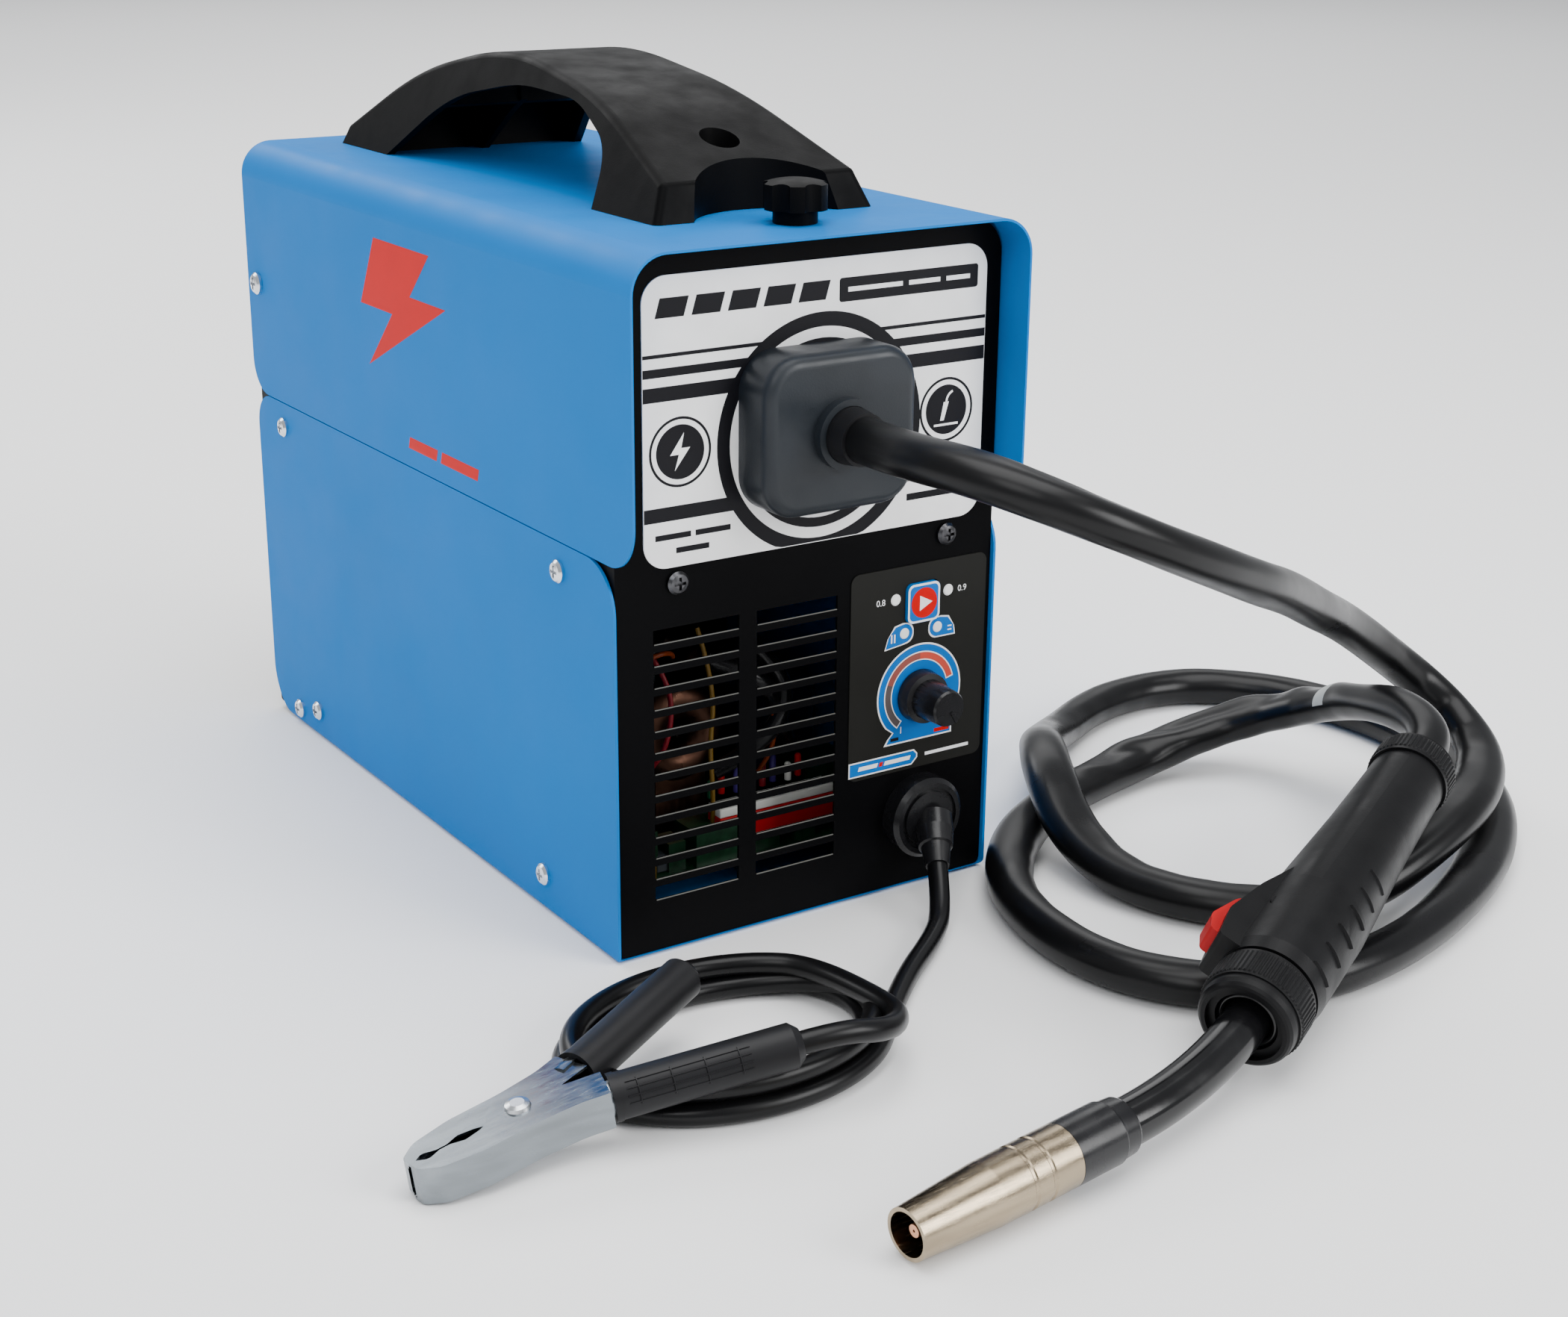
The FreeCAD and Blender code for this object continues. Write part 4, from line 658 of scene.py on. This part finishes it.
def label_graphics():
    stripes = clear_of_ring(238.4, 239.8) + clear_of_ring(231.2, 234.5) + clear_of_ring(222.1, 227.6)
    stripes += clear_of_ring(176.5, 182.0)
    on_label("label_stripes", stripes, thickness=0.07)
    ring = (3.0, 201.5)
    rings = [cut_band(ring, 47, 41.4, 158.6), band(ring, 37.1, 33.3, -90, 270)]
    on_label("label_rings", rings, thickness=0.09)
    left, right = (-60.0, 202.4), (62.9, 203.5)
    discs = [band(left, 13.4, 12.4), arc(left, 10.4, 0, 360, 60)[:-1], band(right, 13.0, 12.0),
             arc(right, 10.0, 0, 360, 60)[:-1]]
    on_label("label_badges", discs)
    bolt = [(-58.4, 209.6), (-64.4, 201.4), (-60.6, 201.4), (-62.4, 195.4), (-55.8, 203.8), (-59.6, 203.8)]
    tool = [(60.0, 199.2), (61.8, 199.2), (64.0, 206.6), (61.6, 206.6)]
    hook = arc((67.4, 206.4), 5.0, 180, 110, 8) + arc((67.4, 206.4), 4.1, 110, 180, 8)
    work = slanted(57.0, 68.8, 197.0, 197.9)
    on_label("label_symbols", [bolt, tool, hook, work], "white_film", 0.09, 0.06)
    heading = [slanted(-70.5 + 15.6 * i, -58.2 + 15.6 * i, 252.9, 260.2, 2.2) for i in range(5)]
    on_label("label_heading", heading)
    on_label("label_type_plate", [rounded_box(10.5, 76.5, 251.2, 260.4, 1.2)])
    type_bars = [slanted(start, end, 254.9, 256.7) for start, end in [(14.5, 40), (43, 58), (61, 72.5)]]
    on_label("label_type_bar", type_bars, "white_film", 0.09, 0.06)
    notes = [slanted(-71, -55.5, 169.3, 171.5), slanted(-53.5, -38, 169.3, 171.5),
             slanted(-62, -47.5, 163.6, 165.8), slanted(44.5, 74.5, 168.6, 171.4)]
    on_label("label_notes", notes)


def leaf(points, spread):
    """The outline grown by spread about its middle."""
    u = sum(p[0] for p in points) / len(points)
    v = sum(p[1] for p in points) / len(points)
    return [(a + spread * (1 if a > u else -1), b + spread * (1 if b > v else -1)) for a, b in points]


def overlay_graphics():
    blue_button = [rounded_box(45.9, 61.7, 116.8, 133.2, 2.7)]
    inner_line = rounded_box(46.8, 60.8, 117.7, 132.3, 2.1)
    on_button("button_line", blue_button, "white_film")
    on_button("button_field", [inner_line], "blue_film", 0.08)
    on_button("button_disc", [arc((53.8, 125), 6.4, 0, 360, 48)[:-1]], "red_film", 0.16)
    play = [(51.6, 121.8), (57.8, 125), (51.6, 128.2)]
    on_button("button_arrow", [play], "white_film", 0.24)
    left_leaf = arc((45.4, 112.8), 4.0, -80, 100, 12)
    left_leaf += [(41.0, 116.0), (37.6, 112.2), (36.1, 107.4), (44.0, 108.4)]
    right_leaf = arc((62.0, 112.8), 4.0, 80, 260, 12)
    right_leaf += [(70.6, 108.8), (70.0, 112.6), (67.2, 116.2), (63.0, 116.9)]
    on_overlay("lamp_outlines", [leaf(left_leaf, 0.55), leaf(right_leaf, 0.55)], "white_film")
    on_overlay("lamp_fields", [left_leaf, right_leaf], "blue_film", 0.06)
    ticks = [slanted(38.6 + 1.5 * i, 39.3 + 1.5 * i, 109.6, 113.2) for i in range(2)]
    ticks += [slanted(67.2, 69.2, 112.0, 112.6), slanted(67.2, 69.2, 110.4, 111.0)]
    on_overlay("lamp_ticks", ticks, "white_film", 0.11)
    dial = (53.6, 86.0)
    scale = arc(dial, 21.2, -38, 218, 72)
    scale += [(40.4, 70.4), (38.0, 68.0), (36.2, 65.2), (70.9, 65.2), (70.7, 69.4)]
    field = arc(dial, 20.5, -38, 219, 72)
    field += [(41.2, 70.4), (38.8, 68.0), (37.6, 65.9), (70.1, 65.9), (70.0, 69.6)]
    on_overlay("dial_outline", [scale], "white_film")
    on_overlay("dial_field", [field], "blue_film", 0.06)
    edge = arc(dial, 17.7, 232, 14, 60) + arc(dial, 13.9, 14, 232, 60)
    on_overlay("dial_band_line", [edge], "white_film", 0.12, 0.04)
    for name, finish, start, end in [("low", "grey_film", 230, 160), ("middle", "brown_film", 160, 90),
                                     ("high", "rust_film", 90, 16)]:
        sweep = arc(dial, 17.2, start, end, 24) + arc(dial, 14.4, end, start, 24)
        on_overlay("dial_band_" + name, [sweep], finish, 0.17, 0.04)
    numerals("dial_one", "1", 3.0, 43.6, 69.6, 0.13, "white_film")
    on_overlay("dial_least", [slanted(39.6, 43.6, 66.8, 68.2)], "black_film", 0.12)
    numerals("dial_ten", "10", 2.8, 62.8, 69.9, 0.13, "red_film")
    on_overlay("dial_most", [slanted(61.8, 69.4, 66.8, 68.4)], "red_film", 0.12)
    numerals("wire_small", "0.8", 2.6, 31.0, 126.4, 0.0, "white_film")
    numerals("wire_large", "0.9", 2.6, 71.8, 126.4, 0.0, "white_film")
    plaque = [(18.9, 54.6), (50.8, 54.6), (53.6, 57.4), (53.6, 59.2), (51.8, 61.2), (18.9, 61.2)]
    plaque_field = [(19.5, 55.2), (50.4, 55.2), (53.0, 57.7), (53.0, 59.0), (51.4, 60.6), (19.5, 60.6)]
    on_overlay("plaque_outline", [plaque], "white_film")
    on_overlay("plaque_field", [plaque_field], "blue_film", 0.06)
    bars = [slanted(23.5, 33, 57.1, 58.9, 0.6), slanted(36.5, 49.5, 57.1, 58.9, 0.6)]
    on_overlay("plaque_bars", bars, "white_film", 0.12)
    on_overlay("plaque_red_bar", [slanted(33.9, 35.6, 57.1, 58.9, 0.6)], "red_film", 0.12)
    on_overlay("overlay_note", [slanted(57.5, 80, 57.4, 58.8)], "white_film", thickness=0.08)


def hood_graphics():
    bolt = [(28, 256), (-26, 256), (-6, 236), (-40, 236), (38, 200), (12, 226), (44, 226)]
    print_on("hood_emblem", [bolt], left_point, HOOD_PRINT, "red_film", "hood")
    bars = [slanted(-64, -30, 170.6, 175.6, -1.6), slanted(-26, 1, 170.6, 175.6, -1.6)]
    print_on("hood_bars", bars, left_point, HOOD_PRINT, "red_film", "hood")


def slot_lip_highlights():
    """A painted highlight: a lighter strip along the lower edge of each slot of the grille."""
    edges = []
    for i in range(SLOTS):
        v = 128.6 - SLOT_PITCH * i
        edges += [slanted(-71.6, -33.9, v - 0.1, v + 0.3), slanted(-25.1, 12.1, v - 0.1, v + 0.3)]
    print_on("slot_lip_highlights", edges, front_point, SLOT_EDGE, "slot_lip_highlight", thickness=0.3)


BLOCK_EDGE = 0.6


def block(name, low, high, finish):
    """A component with softened edges, from its low to its high corner in millimetres."""
    build = bmesh.new()
    bmesh.ops.create_cube(build, size=1.0)
    size = Vector(high) - Vector(low)
    middle = (Vector(high) + Vector(low)) / 2
    for vertex in build.verts:
        vertex.co = middle + Vector(a * b for a, b in zip(vertex.co, size))
    bmesh.ops.bevel(build, geom=build.edges[:], offset=BLOCK_EDGE, segments=3, affect="EDGES", profile=0.5)
    bmesh.ops.scale(build, vec=(MM, MM, MM), verts=build.verts)
    return add_piece(name, finished_mesh(name, build), finish, "case", 40)


def wire(name, route, diameter, finish):
    guide = spline(name, route, diameter)
    mesh = bpy.data.meshes.new_from_object(guide)
    bpy.data.objects.remove(guide)
    mesh.materials.clear()
    return add_piece(name, mesh, finish, "case", 60)


def bead(name, x, y, low, high, radius, finish):
    """A small upright component with a domed top."""
    build = bmesh.new()
    levels = [(low, radius), (high - radius * 0.7, radius), (high - radius * 0.2, radius * 0.75),
              (high, radius * 0.25)]
    rings = []
    for z, r in levels:
        rings.append([build.verts.new(Vector((u, v, z)) * MM) for u, v in arc((x, y), r, 0, 360, 16)[:-1]])
    join_all(build, rings)
    close_ends(build, rings)
    return add_piece(name, finished_mesh(name, build), finish, "case", 50)


BEAD_FINISHES = ["green", "red", "violet", "green", "red_wire", "violet", "white_plastic", "red"]
BEAD_PITCH = 6.4
WIRES = [
    # name, diameter, finish, route
    ("wire_red", 2.2, "red_wire",
     [(-66, -120, 42), (-50, -132, 58), (-43, -137, 76), (-40, -130, 98), (-52, -118, 118)]),
    ("wire_orange", 2.0, "orange",
     [(-78, -132, 88), (-70, -140, 96), (-58, -135, 108), (-44, -139, 112), (-36, -126, 104)]),
    ("wire_yellow", 2.0, "yellow",
     [(-24, -137, 30), (-26, -141, 48), (-26, -138, 66), (-22, -136, 92), (-27, -130, 116)]),
    ("wire_green", 1.8, "green", [(-60, -128, 26), (-56, -137, 44), (-58, -140, 62), (-68, -133, 78)]),
    ("wire_rust", 2.0, "orange", [(2, -128, 44), (6, -137, 58), (4, -140, 74), (8, -132, 92)]),
    ("power_lead_low", 7.5, "glossy_plastic",
     [(-16, -126, 50), (0, -136, 62), (10, -139, 76), (12, -134, 92), (-2, -126, 106)]),
    ("power_lead_high", 7.5, "glossy_plastic",
     [(-20, -128, 100), (-8, -136, 96), (4, -139, 86), (12, -130, 70), (22, -122, 56)]),
    ("power_lead_left", 6.5, "glossy_plastic",
     [(-72, -126, 62), (-64, -136, 72), (-56, -134, 90), (-62, -122, 108)]),
]


def seen_through_grille():
    block("relay_red", (-24, -143, 26), (33, -133, 36), "red")
    block("relay_cap", (-24, -143, 36.2), (33, -133, 40), "white_plastic")
    block("relay_foot", (-24, -143.4, 23), (33, -132.6, 25.8), "white_plastic")
    block("edge_connector", (-73, -146, 18), (-56, -138, 24), "yellow")
    block("terminal", (-53, -141, 18), (-45, -133, 25), "grey_plastic")
    for i, finish in enumerate(BEAD_FINISHES):
        bead(f"bead_{i}", -20 + BEAD_PITCH * i, -129 + 2 * (i % 2), 40, 48 + 2 * (i % 3), 1.5, finish)
    for name, diameter, finish, route in WIRES:
        wire(name, route, diameter, finish)


GRIP_START = Vector((57, -370, 25.5))
GRIP_END = Vector(TORCH_ROUTE[-1])
NOZZLE_HEADING = Vector((0.9945, 0.094, 0.047)).normalized()
GRIP_X = (GRIP_END - GRIP_START).normalized()
GRIP_Z = NOZZLE_HEADING.cross(GRIP_X).normalized()
GRIP_Y = GRIP_Z.cross(GRIP_X)


def grip_point(x, y, z):
    return (GRIP_START + GRIP_X * x + GRIP_Y * y + GRIP_Z * z) * MM


def knurl(name, start, end, radius, count, height, body):
    """A sleeve of fine straight ridges on a ring of the torch."""
    build = bmesh.new()
    total = count * 4
    rings = []
    for x, rise in [(start, -0.25), (start + 0.8, height), (end - 0.8, height), (end, -0.25)]:
        ring = []
        for i in range(total):
            turn = 2 * math.pi * i / total
            r = radius + (rise if i % 4 in (1, 2) else min(rise, 0.05))
            ring.append(build.verts.new(grip_point(x, r * math.cos(turn), r * math.sin(turn))))
        rings.append(ring)
    join_all(build, rings)
    return add_piece(name, finished_mesh(name, build), "grip", body)


RING_SIDES = 64


def turned_on_grip(name, profile, finish, body):
    """A ring of the torch, turned about the grip's axis from a closed profile of (x, radius)."""
    build = bmesh.new()
    turns = [2 * math.pi * i / RING_SIDES for i in range(RING_SIDES)]
    rings = []
    for x, radius in profile:
        spots = [grip_point(x, radius * math.cos(t), radius * math.sin(t)) for t in turns]
        rings.append([build.verts.new(spot) for spot in spots])
    join_all(build, rings + rings[:1])
    return add_piece(name, finished_mesh(name, build), finish, body, 50)


def torch_details():
    collar = [(-2.5, 11.6), (-4.6, 11.5), (-5.6, 11.0), (-5.8, 10.2), (-5.2, 9.4), (-2.5, 9.3)]
    turned_on_grip("neck_collar", collar, "neck", "case")
    knurl("front_ring_knurl", -2.2, 10.8, 19.05, 64, 0.5, "torch_front_ring")
    knurl("rear_ring_knurl", 163.4, 173.2, 16.55, 56, 0.45, "case")


RIDGE_HEIGHT = 0.45
RIDGE_WIDTH = 0.8
RIDGE_SUNK = 0.3


def ridge(build, path):
    """A raised rib along a path of (point, outward, aside), sunk a little into the surface below it."""
    rings = []
    for point, outward, aside in path:
        foot, half = point - outward * RIDGE_SUNK, aside * RIDGE_WIDTH / 2
        crest, narrow = point + outward * RIDGE_HEIGHT, aside * RIDGE_WIDTH / 5
        corners = [foot - half, foot + half, crest + narrow, crest - narrow]
        rings.append([build.verts.new(corner * MM) for corner in corners])
    join_all(build, rings)
    close_ends(build, rings)


def sleeve_grid():
    """The moulded grid on the outer side of the clamp's lower sleeve."""
    above = CLAMP_AHEAD.cross(CLAMP_ACROSS)
    level = HANDLE_LINE.cross(above).normalized()

    def spot(distance, turn, aside=None):
        outward = level * math.cos(math.radians(turn)) + above * math.sin(math.radians(turn))
        point = CLAMP_CENTRE + HANDLE_LINE * distance + outward * CLAMP_SLEEVE_RADIUS
        return point, outward, HANDLE_LINE.cross(outward) if aside is None else aside

    build = bmesh.new()
    for turn in (8, 26, 44, 62):
        ridge(build, [spot(36 + 44 * i / 8, turn) for i in range(9)])
    for distance in (40, 52, 64, 76):
        ridge(build, [spot(distance, 2 + 66 * i / 12, HANDLE_LINE) for i in range(13)])
    mesh = finished_mesh("clamp_sleeve_grid", build)
    add_piece("clamp_sleeve_grid", mesh, "rubber", "case")


make_camera()
make_cords()
sleeve_grid()
seen_through_grille()
torch_details()
label_graphics()
overlay_graphics()
hood_graphics()
slot_lip_highlights()
make_studio()
finish_nodes()
